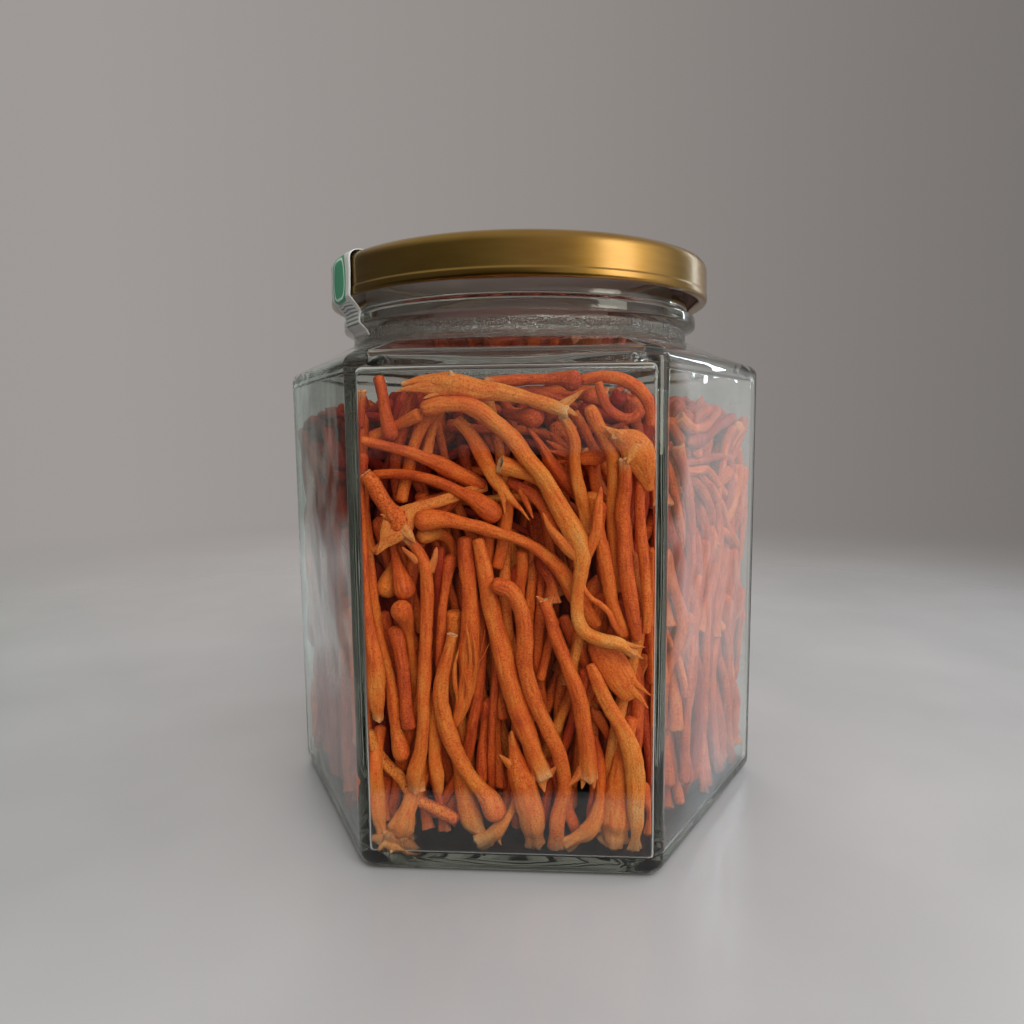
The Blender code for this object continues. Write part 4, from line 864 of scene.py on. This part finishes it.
pimples = lay(tree, "TexVoronoi", {"Vector": (grain, "Vector"), "Scale": 2.2})
tone = (tint, "Fac")
for pattern, low, high, swing in ((blotches, 0.3, 0.7, 0.08), (wrinkles, 0.25, 0.75, 0.15),
                                  (fine, 0.3, 0.7, -0.13)):
    varied = lay(tree, "MapRange", {"Value": (pattern, 0), "From Min": low, "From Max": high,
                                    "To Min": -swing, "To Max": swing})
    tone = (lay(tree, "Math", {0: tone, 1: (varied, 0)}, operation="ADD"), 0)
flesh = lay(tree, "ValToRGB", {"Fac": tone},
            stops=((0.0, "#93190f"), (0.25, "#a93a18"), (0.5, "#d55e1e"), (0.75, "#de8334"),
                   (1.0, "#dba460")))
torn_share = lay(tree, "MapRange", {"Value": (wrinkles, 0), "From Min": 0.3, "From Max": 0.58,
                                    "To Min": 0.5, "To Max": 1.0})
paled = lay(tree, "Math", {0: (pale, "Fac"), 1: (torn_share, 0)}, operation="MULTIPLY")
torn_tone = lay(tree, "ValToRGB", {"Fac": (paled, 0)}, stops=((0.2, "#cb7f3d"), (0.9, "#dcb98a")))
bleached = lay(tree, "Mix", {0: (paled, 0), 6: (flesh, 0), 7: (torn_tone, 0)}, data_type="RGBA")
speck_here = lay(tree, "MapRange", {"Value": (fine, 0), "From Min": 0.52, "From Max": 0.66})
more = lay(tree, "Math", {0: (specks, "Fac"), 1: LEAST_SPECKS}, operation="ADD")
speck_share = lay(tree, "Math", {0: (speck_here, 0), 1: (more, 0)}, operation="MULTIPLY", use_clamp=True)
specked = lay(tree, "Mix", {0: (speck_share, 0), 6: (bleached, 2), 7: colour("#701d08")},
              data_type="RGBA")
# Painted shade: the sunken middle of a cut or torn end is painted dark brown.
painted_hollow_shade = lay(tree, "Mix", {0: (hollow, "Fac"), 6: (specked, 2), 7: colour("#5e2a12")},
                  data_type="RGBA")
dull = lay(tree, "MapRange", {"Value": (fine, 0), "From Min": 0.3, "From Max": 0.7,
                              "To Min": 0.5, "To Max": 0.72})
wrinkled = lay(tree, "Bump", {"Height": (wrinkles, 0), "Strength": 0.8, "Distance": 0.4 * MM})
granular = lay(tree, "Bump", {"Height": (fine, 0), "Normal": (wrinkled, 0), "Strength": 0.6,
                              "Distance": 0.2 * MM}, invert=True)
pimple_height = lay(tree, "Math", {0: (pimples, "Distance"), 1: (club, "Fac")}, operation="MULTIPLY")
pimpled = lay(tree, "Bump", {"Height": (pimple_height, 0), "Normal": (granular, 0), "Strength": 0.3,
                             "Distance": 0.15 * MM}, invert=True)
dried = lay(tree, "BsdfPrincipled", {"Base Color": (painted_hollow_shade, 2), "Roughness": (dull, 0),
                                     "Specular IOR Level": 0.4, "Normal": (pimpled, 0)})
lay(tree, "OutputMaterial", {"Surface": (dried, 0)})

FIRST_SEED = 11
front_lines = {}
for number, (name, look) in enumerate(STEMS.items()):
    rng = np.random.default_rng(number + FIRST_SEED)
    knots = packed_line(name)
    before, beyond = ([(*seen_at(x, z, depth), girth) for x, z, depth, girth in extra.get(name, ())]
                      for extra in (BEFORE_HEAD, BEYOND_FOOT))
    knots = np.array([*before, *knots, *beyond])
    if name in SHIFTED:
        knots[:, :3] += np.linspace(*SHIFTED[name], len(knots))
    if knots[-1, 2] < STANDS_AT + 3.0 and name != "stem_low_slant":      # that one lies, the rest stand
        down = knots[-1] - knots[-2]
        down[2] = min(down[2], -0.5 * hypot(*down[:2]) - 0.1)       # at least half as far as sideways
        knots = np.vstack([knots, knots[-1] + down * (knots[-1, 2] - STANDS_AT) / -down[2]])
        knots[-1, 3] = max(knots[-2, 3], 1.0)
    front_lines[name] = knots.copy()
    knots[:, 3] *= WIDER.get(name, 1.0)
    parts = [stem(knots, look, rng, facing=FACING_FRONT)]
    for style, end in ((look[2], 0), (look[3], -1)):
        if style in ("torn", "rooted"):
            parts += fringe(knots, end, style, np.broadcast_to(look[0], 2)[end], rng)
    # A shred is a little paler than its stem, unless it is one of the sheets.
    plain = (np.mean(look[0]) + 0.08, 0.35 if "torn" in look[2:4] else 0.0, 0.5, 0.0)
    shreds = [(shred, plain) for shred in SHREDS.get(name, ())] + SHEETS.get(name, [])
    for shred, (tint, least_pale, thin, sunk) in shreds:
        near = knots[np.argmin([np.hypot(*(seen_at(*shred[-1][:2], y) - (x, y, z))[[0, 2]])
                                for x, y, z, _ in knots])]
        proud = near[3] * (RIBBED_PROUD if name == "stem_ribbed" else PROUD)
        back = sunk / (len(shred) - 1) ** 3
        branch = [(*seen_at(x, z, near[1] - proud * (1 - i / len(shred)) + back * i ** 3), girth)
                  for i, (x, z, girth) in enumerate(shred)]
        sides = SLIM_SIDES if max(girth for _, _, girth in shred) < SLIM else SIDES
        points, faces, marks = stem(np.array(branch), (tint, SHRED_SPECKS * look[1], "point", "blunt", thin),
                                    rng, step=SHRED_STEP, sides=sides, facing=FACING_FRONT)
        marks["pale"] = np.maximum(marks["pale"], least_pale)
        parts.append((points, faces, marks))
    made = make_mesh(name + "_dried", *joined(parts))
    made.data.materials.append(fungus)
    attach(made, "root")
    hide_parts(name)

# ---------------------------------------------------------------- the rest of the pile
# Several hundred more stems fill the jar behind the front ones. They were poured in and shaken down, so
# most stand along the sides, some lie across them, and the topmost lie flat and crossed under the neck.
PILE_TOP = 91.5
PILE_FRONT = -31.6              # the front stems lie in front of this plane
BEHIND_FRONT = PILE_FRONT + 0.8       # no stem of the pile comes nearer to the front glass,
NEAR_FRONT = -INSIDE + 2.2            # and none between the front stems comes nearer than this
# The six flat sides from the front one round to the right, then the top, then those between the front stems.
PILE_NAMES = ("pile_middle", "pile_right_front", "pile_right_back", "pile_back", "pile_left_back",
              "pile_left_front", "pile_top", "pile_between")
TOP, BETWEEN = 6, 7
LAYERS = (1.7, 4.6, 7.6, 10.8)  # how far behind the glass each layer of a side starts
PITCH = 3.4                     # between the stems of a layer that stand
STANDING_LENGTH = (36, 60)
# The stems that stand: the height where they start, 1 up or -1 down from there, their scatter and lean.
STOREYS = ((3.5, 1, 4, 0.15), (PILE_TOP, -1, 9, 0.40))
CROSSING = (5, 5, 3, 3)         # stems of each layer that lie across it
CROSSING_LENGTH = (26, 42)
CROSSING_HEIGHT = (64, 92)
TOP_STEMS = 56
TOP_LENGTH = (30, 56)
TOP_HEIGHT = (80, 93)
TOP_REACH = 30                  # how far out from the jar's middle those on top are poured
FILL_STEMS = 44                 # stand between the pile and the front stems
FILL_LENGTH = (26, 52)
FILL_DEPTH = (-38.5, -33)
FILL_HALF = 23                  # half the width that they fill
GLIMPSED_DEPTH = (-37.5, -38.5)       # of their heads and of their feet
# Stems seen between the front ones, as (x, height) of head and foot.
GLIMPSED = [(-5.5, 31, -3.2, 15), (-2.5, 30, -1.7, 16), (0.3, 17, 0.3, 4), (-27, 16, -26.8, 3.5),
            (-22, 16, -22.8, 4), (24.7, 15, 26.6, 3.5), (8.6, 46.5, 5.4, 36), (6.4, 58, 8.2, 51),
            (22.6, 59, 24.8, 47), (16.3, 29, 20.3, 22), (-19.2, 46, -19.5, 28), (1, 16, 2.5, 3.5),
            (-14, 18, -12.6, 3.5), (-10.5, 16, -10.8, 3.5), (6.6, 20, 8.4, 3.5), (17.2, 18, 16.4, 3.5),
            (20.4, 16, 21.6, 3.5), (-17.2, 15, -15.0, 4), (10.4, 14, 10.8, 4), (-25.6, 82.3, -16, 87.8),
            (-14, 88.5, -15.3, 76), (-16.2, 88.8, -19.4, 70), (-26.4, 84, -26.2, 58), (-26.3, 66, -26.8, 40),
            (-27, 48, -27.2, 22), (26.6, 60, 27.0, 36), (26.2, 88, 26.8, 70)]


def side_frame(k):
    """The outward direction of a flat side and the direction along it. Side 0 faces the front."""
    turn = k * pi / 3
    return np.array((sin(turn), -cos(turn), 0.0)), np.array((cos(turn), sin(turn), 0.0))


CHAIN = 1.7                     # a stem is poured and settled as balls this far apart
UP = np.array((0.0, 0.0, 1.0))
pile_rng = np.random.default_rng(5)
poured = []                     # the points of each stem, its layer, its group and its front limit


def pour(middle, direction, length, bow, layer, group, front_limit=BEHIND_FRONT):
    """Adds a gently bent stem, as even points round its middle, that keeps behind the front limit."""
    direction = direction / np.linalg.norm(direction)
    across = np.cross(direction, pile_rng.normal(size=3))
    across /= np.linalg.norm(across)
    share = np.linspace(-1, 1, max(5, int(length / CHAIN) + 1))[:, None]
    wave = pile_rng.uniform(-0.35, 0.35)
    line = (middle + direction * share * length / 2
            + across * bow * ((1 - share ** 2) + wave * np.sin(pi * share)))
    poured.append((line, layer, group, front_limit))


for k in range(6):
    outward, beside = side_frame(k)
    for layer, behind in enumerate(LAYERS):
        if k == 0:
            behind += INSIDE + PILE_FRONT
        half_side = (INSIDE - behind) / 3 ** 0.5
        columns = int(2 * half_side / PITCH)
        for column in range(columns):
            place = -half_side + (column + 0.5) * 2 * half_side / columns
            for start, upwards, scatter, leaning in STOREYS:
                length = pile_rng.uniform(*STANDING_LENGTH)
                height = start + upwards * abs(pile_rng.normal(0, scatter)) + upwards * length / 2
                direction = UP + beside * pile_rng.normal(0, leaning) + outward * pile_rng.normal(0, 0.05)
                middle = (outward * (INSIDE - behind) + beside * (place + pile_rng.normal(0, 1.2))
                          + UP * height)
                pour(middle, direction, length, pile_rng.uniform(0.5, 4.5), layer, k)
        for _ in range(CROSSING[layer]):
            direction = beside + UP * pile_rng.normal(0, 0.45)
            middle = (outward * (INSIDE - behind) + beside * pile_rng.uniform(-6, 6)
                      + UP * pile_rng.uniform(*CROSSING_HEIGHT))
            pour(middle, direction, pile_rng.uniform(*CROSSING_LENGTH), pile_rng.uniform(1, 5), layer, k)
for _ in range(TOP_STEMS):
    bearing = pile_rng.uniform(0, 2 * pi)
    reach = pile_rng.uniform(0, TOP_REACH)
    heading = pile_rng.uniform(0, pi)
    middle = np.array((reach * cos(bearing), reach * sin(bearing) + 4, pile_rng.uniform(*TOP_HEIGHT)))
    direction = np.array((cos(heading), sin(heading), pile_rng.normal(0, 0.18)))
    pour(middle, direction, pile_rng.uniform(*TOP_LENGTH), pile_rng.uniform(1, 5), 1, TOP)
for x0, z0, x1, z1 in GLIMPSED:
    top, low = seen_at(x0, z0, GLIMPSED_DEPTH[0]), seen_at(x1, z1, GLIMPSED_DEPTH[1])
    low[2] = max(low[2], JAR_FLOOR + 2)
    pour((top + low) / 2, top - low, np.linalg.norm(top - low), pile_rng.uniform(0, 1),
         0, BETWEEN, NEAR_FRONT)
for index in range(FILL_STEMS):
    place = -FILL_HALF + 2 * FILL_HALF * (index + pile_rng.uniform()) / FILL_STEMS
    depth = pile_rng.uniform(*FILL_DEPTH)
    length = pile_rng.uniform(*FILL_LENGTH)
    height = 4 + length / 2 if index % 2 else pile_rng.uniform(length / 2 + 5, PILE_TOP - length / 2)
    direction = np.array((pile_rng.normal(0, 0.22), pile_rng.normal(0, 0.04), 1.0))
    pour(np.array((place, depth, height)), direction, length, pile_rng.uniform(0.5, 3),
         0, BETWEEN, NEAR_FRONT)


ROUNDS = 110
NEW_PAIRS = 6                   # rounds after which the balls that are near each other are found again
NEAR = 4.2                      # the search's cells are this wide
SLACK = 1.5                     # balls with more room than this between them are left out until the next one
GAP = 0.05                      # left between two stems that touch
CLEARANCE = 0.35                # left between a stem and the glass
PUSH = 0.32                     # share of an overlap by which either ball gives way in a round
SPRING = 0.55                   # share of its own bend that a stem takes back in a round
HEAPED = 3.0                    # how much higher than its top the pile may be in the middle
FALLS_OFF = 0.004               # for each square millimetre further out


def close_pairs(points, reach):
    """Index pairs of points that lie in the same cell, reach wide, or in cells that touch."""
    cell = np.floor(points / reach).astype(np.int64)
    cell -= cell.min(0) - 1
    size = cell.max(0) + 2
    key = (cell[:, 0] * size[1] + cell[:, 1]) * size[2] + cell[:, 2]
    order = np.argsort(key, kind="stable")
    in_order = key[order]
    firsts, seconds = [], []
    around = [(dx, dy, dz) for dx in (-1, 0, 1) for dy in (-1, 0, 1) for dz in (-1, 0, 1)]
    for dx, dy, dz in around[13:]:      # the point's own cell and half of those round it, so each pair once
        wanted = key + (dx * size[1] + dy) * size[2] + dz
        start = np.searchsorted(in_order, wanted, "left")
        count = np.searchsorted(in_order, wanted, "right") - start
        first = np.repeat(np.arange(len(points)), count)
        step = np.arange(count.sum()) - np.repeat(np.cumsum(count) - count, count)
        second = order[np.repeat(start, count) + step]
        if (dx, dy, dz) == (0, 0, 0):
            keep = first < second
            first, second = first[keep], second[keep]
        firsts.append(first)
        seconds.append(second)
    return np.concatenate(firsts), np.concatenate(seconds)


def shaken_down(points, girths, owner, limits, loose):
    """Pushes crossing stems apart, keeps them whole and inside the jar. The first `loose` points move."""
    start = points.copy()
    links = np.nonzero((owner[:-1] == owner[1:]) & (np.arange(len(owner) - 1) < loose - 1))[0]
    rest = np.linalg.norm(start[links + 1] - start[links], axis=1)
    mids = links[1:][np.diff(links) == 1]
    bow = start[mids] - (start[mids - 1] + start[mids + 1]) / 2
    for turn in range(ROUNDS):
        if turn % NEW_PAIRS == 0:
            first, second = close_pairs(points, NEAR)
            keep = (owner[first] != owner[second]) & ((first < loose) | (second < loose))
            first, second = first[keep], second[keep]
            need = girths[first] + girths[second] + GAP
            keep = np.linalg.norm(points[first] - points[second], axis=1) < need + SLACK
            first, second, need = first[keep], second[keep], need[keep]
        apart = points[first] - points[second]
        distance = np.maximum(np.linalg.norm(apart, axis=1), 1e-4)
        touching = distance < need
        push = apart[touching] * (PUSH * (need - distance) / distance)[touching][:, None]
        for axis in range(3):
            points[:loose, axis] += np.bincount(first[touching], push[:, axis], len(points))[:loose]
            points[:loose, axis] -= np.bincount(second[touching], push[:, axis], len(points))[:loose]
        for _ in range(2):
            span = points[links + 1] - points[links]
            reach = np.maximum(np.linalg.norm(span, axis=1), 1e-4)
            fix = span * (0.5 * (reach - rest) / reach)[:, None]
            points[links] += fix
            points[links + 1] -= fix
            points[mids] -= SPRING * (points[mids] - (points[mids - 1] + points[mids + 1]) / 2 - bow)
        free = points[:loose]
        for k in range(6):
            outward, _ = side_frame(k)
            past = free @ outward + girths[:loose] * STEM_SWELL + CLEARANCE - INSIDE
            free -= np.maximum(past, 0)[:, None] * outward
        top = PILE_TOP - FALLS_OFF * (free[:, 0] ** 2 + free[:, 1] ** 2) + HEAPED
        free[:, 2] = np.clip(free[:, 2], JAR_FLOOR + 1.0 + girths[:loose], top - girths[:loose])
        free[:, 1] = np.maximum(free[:, 1], limits)
    return points


PILE_GIRTH = (0.95, 1.5)        # half thickness
lines, layer_of, group_of, least_y = zip(*poured)
pile_girth = [pile_rng.uniform(*PILE_GIRTH) for _ in lines]
balls = [len(line) for line in lines]
chain = np.vstack(lines)
loose = len(chain)
fixed = [smooth_line(knots, 1.5)[0] for knots in front_lines.values()]
chain = np.vstack([chain] + [line[:, :3] for line in fixed])
thickness = np.concatenate([np.repeat(pile_girth, balls)] + [line[:, 3] * STEM_SWELL for line in fixed])
owner = np.repeat(np.arange(len(lines) + len(fixed)), balls + [len(line) for line in fixed])
chain = shaken_down(chain, thickness, owner, np.repeat(least_y, balls), loose)

DETAIL = ((1.0, 13), (1.9, 8), (2.8, 6), (3.6, 5))            # ring step and sides of each layer's stems
# Painted shade: the stems of the left front side, group 5, are given a low and dark tint.
GROUP_TINT_AND_SHADE = (0.35, 0.38, 0.50, 0.54, 0.48, 0.10, 0.50, 0.46)  # from 0 deep red to 1 tan
# Painted shade: each layer further into the pile gets a lower, darker and redder tint.
LAYER_PAINTED_SHADE = (1.0, 0.63, 0.4, 0.28)                           # the deeper in the pile, the redder
TINT_SCATTER = 0.10
PALENESS = 0.6                  # of a torn foot in the pile, against one in front
HEADS = ("club", "club", "club", "blunt", "point")
FEET = ("torn", "rooted", "blunt", "blunt")
HEAD_UP = 0.65                  # share of the stems that stand on their feet, but all those between do
groups = {name: [] for name in PILE_NAMES}
for index, (girth, layer, group) in enumerate(zip(pile_girth, layer_of, group_of)):
    route = chain[:loose][owner[:loose] == index]
    share = np.linspace(0, 1, len(route))
    # Fullest at its head, and a little fuller again at its foot.
    fullness = 0.82 + 0.30 * np.exp(-(share / 0.12) ** 2) + 0.12 * np.exp(-((1 - share) / 0.08) ** 2)
    if pile_rng.uniform() < HEAD_UP or group == BETWEEN:
        route = route[::-1]
    knots = np.column_stack([route, girth * fullness])[::2]
    tint = pile_rng.normal(GROUP_TINT_AND_SHADE[group] * LAYER_PAINTED_SHADE[layer], TINT_SCATTER)
    look = (float(np.clip(tint, 0.05, 0.75)), pile_rng.uniform(0, 0.6),
            HEADS[pile_rng.integers(len(HEADS))], FEET[pile_rng.integers(len(FEET))],
            pile_rng.uniform(0.8, 1.0))
    step, sides = DETAIL[layer]
    points, faces, marks = stem(knots, look, pile_rng, step=step, sides=sides)
    marks["pale"] = PALENESS * marks["pale"]
    groups[PILE_NAMES[group]].append((points, faces, marks))
for name, parts in groups.items():
    made = make_mesh(name, *joined(parts))
    made.data.materials.append(fungus)
    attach(made, "root")
    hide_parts("stem_pile")

# ---------------------------------------------------------------- floor, light and camera
# A pale, slightly glossy table top that fades into an even pale background, soft light from the front
# above, from the right and from behind, and the photograph's camera.
TABLE_EDGE = -78.0              # where the table top ends in front, as the glass mirrors it
TABLE_HALF = 3000
FADE = (160, 600)               # between these, from the jar outwards, it fades into the background
MIRRORED_FADE = (85, 150)       # and between these as the glass mirrors it
floor_points = TABLE_HALF * np.array([(-1, -1, 0), (1, -1, 0), (1, 1, 0), (-1, 1, 0)], float)
floor = make_mesh("table_top", floor_points, [np.array([[0, 1, 2, 3]])])
# Laminate, pressed to a satin face: a cool light grey with clouds 60 mm across, in which the jar is
# mirrored softly. Painted reflection: past the table's edge in front, mirrored rays see it painted dark,
# while seen straight it goes on pale.
laminate, tree = new_material("laminate, satin")
place = lay(tree, "TexCoord")
mottle = lay(tree, "TexNoise", {"Vector": (place, "Object"), "Scale": 1 / (60 * MM), "Detail": 3.0})
pale_top = lay(tree, "ValToRGB", {"Fac": (mottle, 0)}, stops=((0.3, "#9a9b9e"), (0.7, "#a2a3a6")))
board = lay(tree, "BsdfPrincipled", {"Base Color": (pale_top, 0), "Roughness": 0.22})
far = lay(tree, "VectorMath", {0: (place, "Object")}, operation="LENGTH")
fade = lay(tree, "MapRange", {"Value": (far, "Value"), "From Min": FADE[0] * MM,
                              "From Max": FADE[1] * MM}, interpolation_type="SMOOTHSTEP")
ray = lay(tree, "LightPath")
spot = lay(tree, "SeparateXYZ", {"Vector": (place, "Object")})
past_edge = lay(tree, "Math", {0: (spot, "Y"), 1: TABLE_EDGE * MM}, operation="LESS_THAN")
mirrored = lay(tree, "Math", {0: (past_edge, 0), 1: (ray, "Is Glossy Ray")}, operation="MULTIPLY")
# Painted reflection: a dark surface that only mirrored rays see, past the table's front edge.
painted_dark_reflection = lay(tree, "BsdfDiffuse", {"Color": colour("#1c1d1c")})
edged = lay(tree, "MixShader", {0: (mirrored, 0), 1: (board, 0), 2: (painted_dark_reflection, 0)})
nothing = lay(tree, "BsdfTransparent")
near_fade = lay(tree, "MapRange", {"Value": (far, "Value"), "From Min": MIRRORED_FADE[0] * MM,
                                   "From Max": MIRRORED_FADE[1] * MM})
mirrored_fade = lay(tree, "Math", {0: (near_fade, 0), 1: (ray, "Is Glossy Ray")}, operation="MULTIPLY")
either_fade = lay(tree, "Math", {0: (fade, 0), 1: (mirrored_fade, 0)}, operation="MAXIMUM")
faded = lay(tree, "Math", {0: (either_fade, 0), 1: (mirrored, 0)}, operation="SUBTRACT", use_clamp=True)
fading = lay(tree, "MixShader", {0: (faded, 0), 1: (edged, 0), 2: (nothing, 0)})
lay(tree, "OutputMaterial", {"Surface": (fading, 0)})
floor.data.materials.append(laminate)

# The room by compass bearing, at eye level and lower down: a pale wall behind, brighter to the right and
# to the right front, dim in front and to the left, with light and dark bands that the side glasses mirror.
# That keeps the front glass clear and gives the lid its bands. Seen straight, the wall is plain all round.
ROOM = ((0.0, "#858380"), (0.045, "#66645f"), (0.09, "#565452"), (0.167, "#535150"), (0.30, "#4e4d4c"),
        (0.355, "#3c3d3c"), (0.374, "#2a2b29"), (0.379, "#2f302d"), (0.381, "#6a726f"), (0.383, "#2a2f2d"),
        (0.385, "#8f9893"), (0.3872, "#848d87"), (0.3895, "#98a19b"), (0.41, "#9f9a97"), (0.50, "#918b88"),
        (0.60, "#726e6b"), (0.62, "#9a9896"), (0.629, "#e4e5e5"), (0.639, "#dadbdb"), (0.6405, "#ffffff"),
        (0.6425, "#7d8577"), (0.650, "#656c5e"), (0.667, "#565550"), (0.70, "#716e6a"), (0.75, "#e7e3dc"),
        (0.85, "#e7e3dc"), (0.885, "#9a958f"), (0.96, "#989491"), (1.0, "#858380"))
LOW_ROOM = ((0.0, "#66645f"), (0.30, "#4e4d4c"), (0.374, "#4a4845"), (0.379, "#7c756d"), (0.381, "#6c716e"),
            (0.383, "#b2bdbb"), (0.3895, "#cdd5d4"), (0.41, "#9f9a97"), (0.60, "#726e6b"), (0.62, "#9a9896"),
            (0.629, "#e4e5e5"), (0.639, "#dadbdb"), (0.6405, "#ffffff"), (0.6425, "#7d8577"),
            (0.667, "#565550"), (0.75, "#e7e3dc"), (0.85, "#e7e3dc"), (1.0, "#66645f"))
WALL = ((0.0, "#8b8682"), (0.41, "#9f9a97"), (0.50, "#918b88"), (0.60, "#726e6b"), (0.75, "#7d7976"),
        (1.0, "#8b8682"))
world = bpy.data.worlds.new("studio")
bpy.context.scene.world = world
world.use_nodes = True
tree = world.node_tree
tree.nodes.clear()
looking = lay(tree, "TexCoord")
way = lay(tree, "SeparateXYZ", {"Vector": (looking, "Generated")})
compass = lay(tree, "Math", {0: (way, "X"), 1: (way, "Y")}, operation="ARCTAN2")
bearing = lay(tree, "MapRange", {"Value": (compass, 0), "From Min": -pi, "From Max": pi})
upper = lay(tree, "ValToRGB", {"Fac": (bearing, 0)}, stops=ROOM)
lower = lay(tree, "ValToRGB", {"Fac": (bearing, 0)}, stops=LOW_ROOM)
sunk = lay(tree, "MapRange", {"Value": (way, "Z"), "From Min": -0.16, "From Max": -0.10})
room = lay(tree, "Mix", {0: (sunk, 0), 6: (lower, 0), 7: (upper, 0)}, data_type="RGBA")
wall = lay(tree, "ValToRGB", {"Fac": (bearing, 0)}, stops=WALL)
high = lay(tree, "MapRange", {"Value": (way, "Z"), "From Min": 0.35, "From Max": 0.75},
           interpolation_type="SMOOTHSTEP")
ceiling = lay(tree, "Mix", {0: (high, 0), 6: (room, 2), 7: colour("#b4b3b0")}, data_type="RGBA")
seen = lay(tree, "LightPath")
plain = lay(tree, "Mix", {0: (seen, "Is Camera Ray"), 6: (ceiling, 2), 7: (wall, 0)}, data_type="RGBA")
LIT = 1.75                      # how much more light the room gives than it shows
strength = lay(tree, "MapRange", {"Value": (seen, "Is Diffuse Ray"), "To Min": 1.0, "To Max": LIT})
sky = lay(tree, "Background", {"Color": (plain, 2), "Strength": (strength, 0)})
lay(tree, "OutputWorld", {"Surface": (sky, 0)})

# Rectangular lamps: name, place, target, size, power, colour, and the rays that don't see the lamp. The
# shapes of most of them would show in the glass, so only the side lamp and the strip are mirrored.
for name, place, target, size, power, hex_code, unseen_by in (
        ("key", (190, -380, 400), (0, 0, 50), (330, 330), 2.05, "#fffbf5", ("glossy",)),
        ("side", (356, -209, 190), (0, 0, 105), (150, 260), 0.41, "#fffcea", ("diffuse",)),
        ("strip_back_right", (300, 210, 210), (30, 0, 80), (7, 170), 0.06, "#e2f3ff", ()),
        ("fill", (70, -420, 150), (0, 0, 40), (260, 110), 0.40, "#fff3e4", ("glossy", "transmission")),
        ("behind", (-150, 420, 260), (0, 0, 50), (300, 300), 0.8, "#fff3e4", ("glossy", "transmission")),
        ("right", (420, 60, 240), (0, 0, 50), (180, 220), 0.65, "#fbfdff", ("glossy", "transmission"))):
    lamp = bpy.data.lights.new(name, "AREA")
    lamp.shape = "RECTANGLE"
    lamp.size, lamp.size_y = (length * MM for length in size)
    lamp.energy = power
    lamp.color = colour(hex_code)[:3]
    hung = bpy.data.objects.new(name, lamp)
    hung.location = Vector(place) * MM
    hung.rotation_euler = (Vector(target) - Vector(place)).to_track_quat("-Z", "Y").to_euler()
    for ray in ("camera", *unseen_by):
        setattr(hung, "visible_" + ray, False)
    bpy.context.scene.collection.objects.link(hung)

camera_data = bpy.data.cameras.new("camera")
camera = bpy.data.objects.new("camera", camera_data)
bpy.context.scene.collection.objects.link(camera)
CAMERA_YAW = radians(-4.08)
CAMERA_DOWN = radians(6.17)
CAMERA_ROLL = radians(-0.62)
camera_data.sensor_width = 36.0
camera_data.lens = 26.2
camera_data.clip_start = 0.01
ahead = Vector((sin(CAMERA_YAW) * cos(CAMERA_DOWN), cos(CAMERA_YAW) * cos(CAMERA_DOWN),
                -sin(CAMERA_DOWN)))
level_right = Vector((cos(CAMERA_YAW), -sin(CAMERA_YAW), 0.0))
level_up = level_right.cross(ahead)
to_right = level_right * cos(CAMERA_ROLL) + level_up * sin(CAMERA_ROLL)
to_up = level_up * cos(CAMERA_ROLL) - level_right * sin(CAMERA_ROLL)
turned = Matrix((to_right, to_up, -ahead)).transposed().to_4x4()
camera.matrix_world = Matrix.Translation(Vector(EYE) * MM) @ turned
bpy.context.scene.camera = camera
bpy.context.scene.view_settings.view_transform = "Standard"
BOUNCES = 48                    # light is guided a long way inside the glass wall
for kind in ("max", "transmission", "glossy"):
    setattr(bpy.context.scene.cycles, kind + "_bounces", BOUNCES)
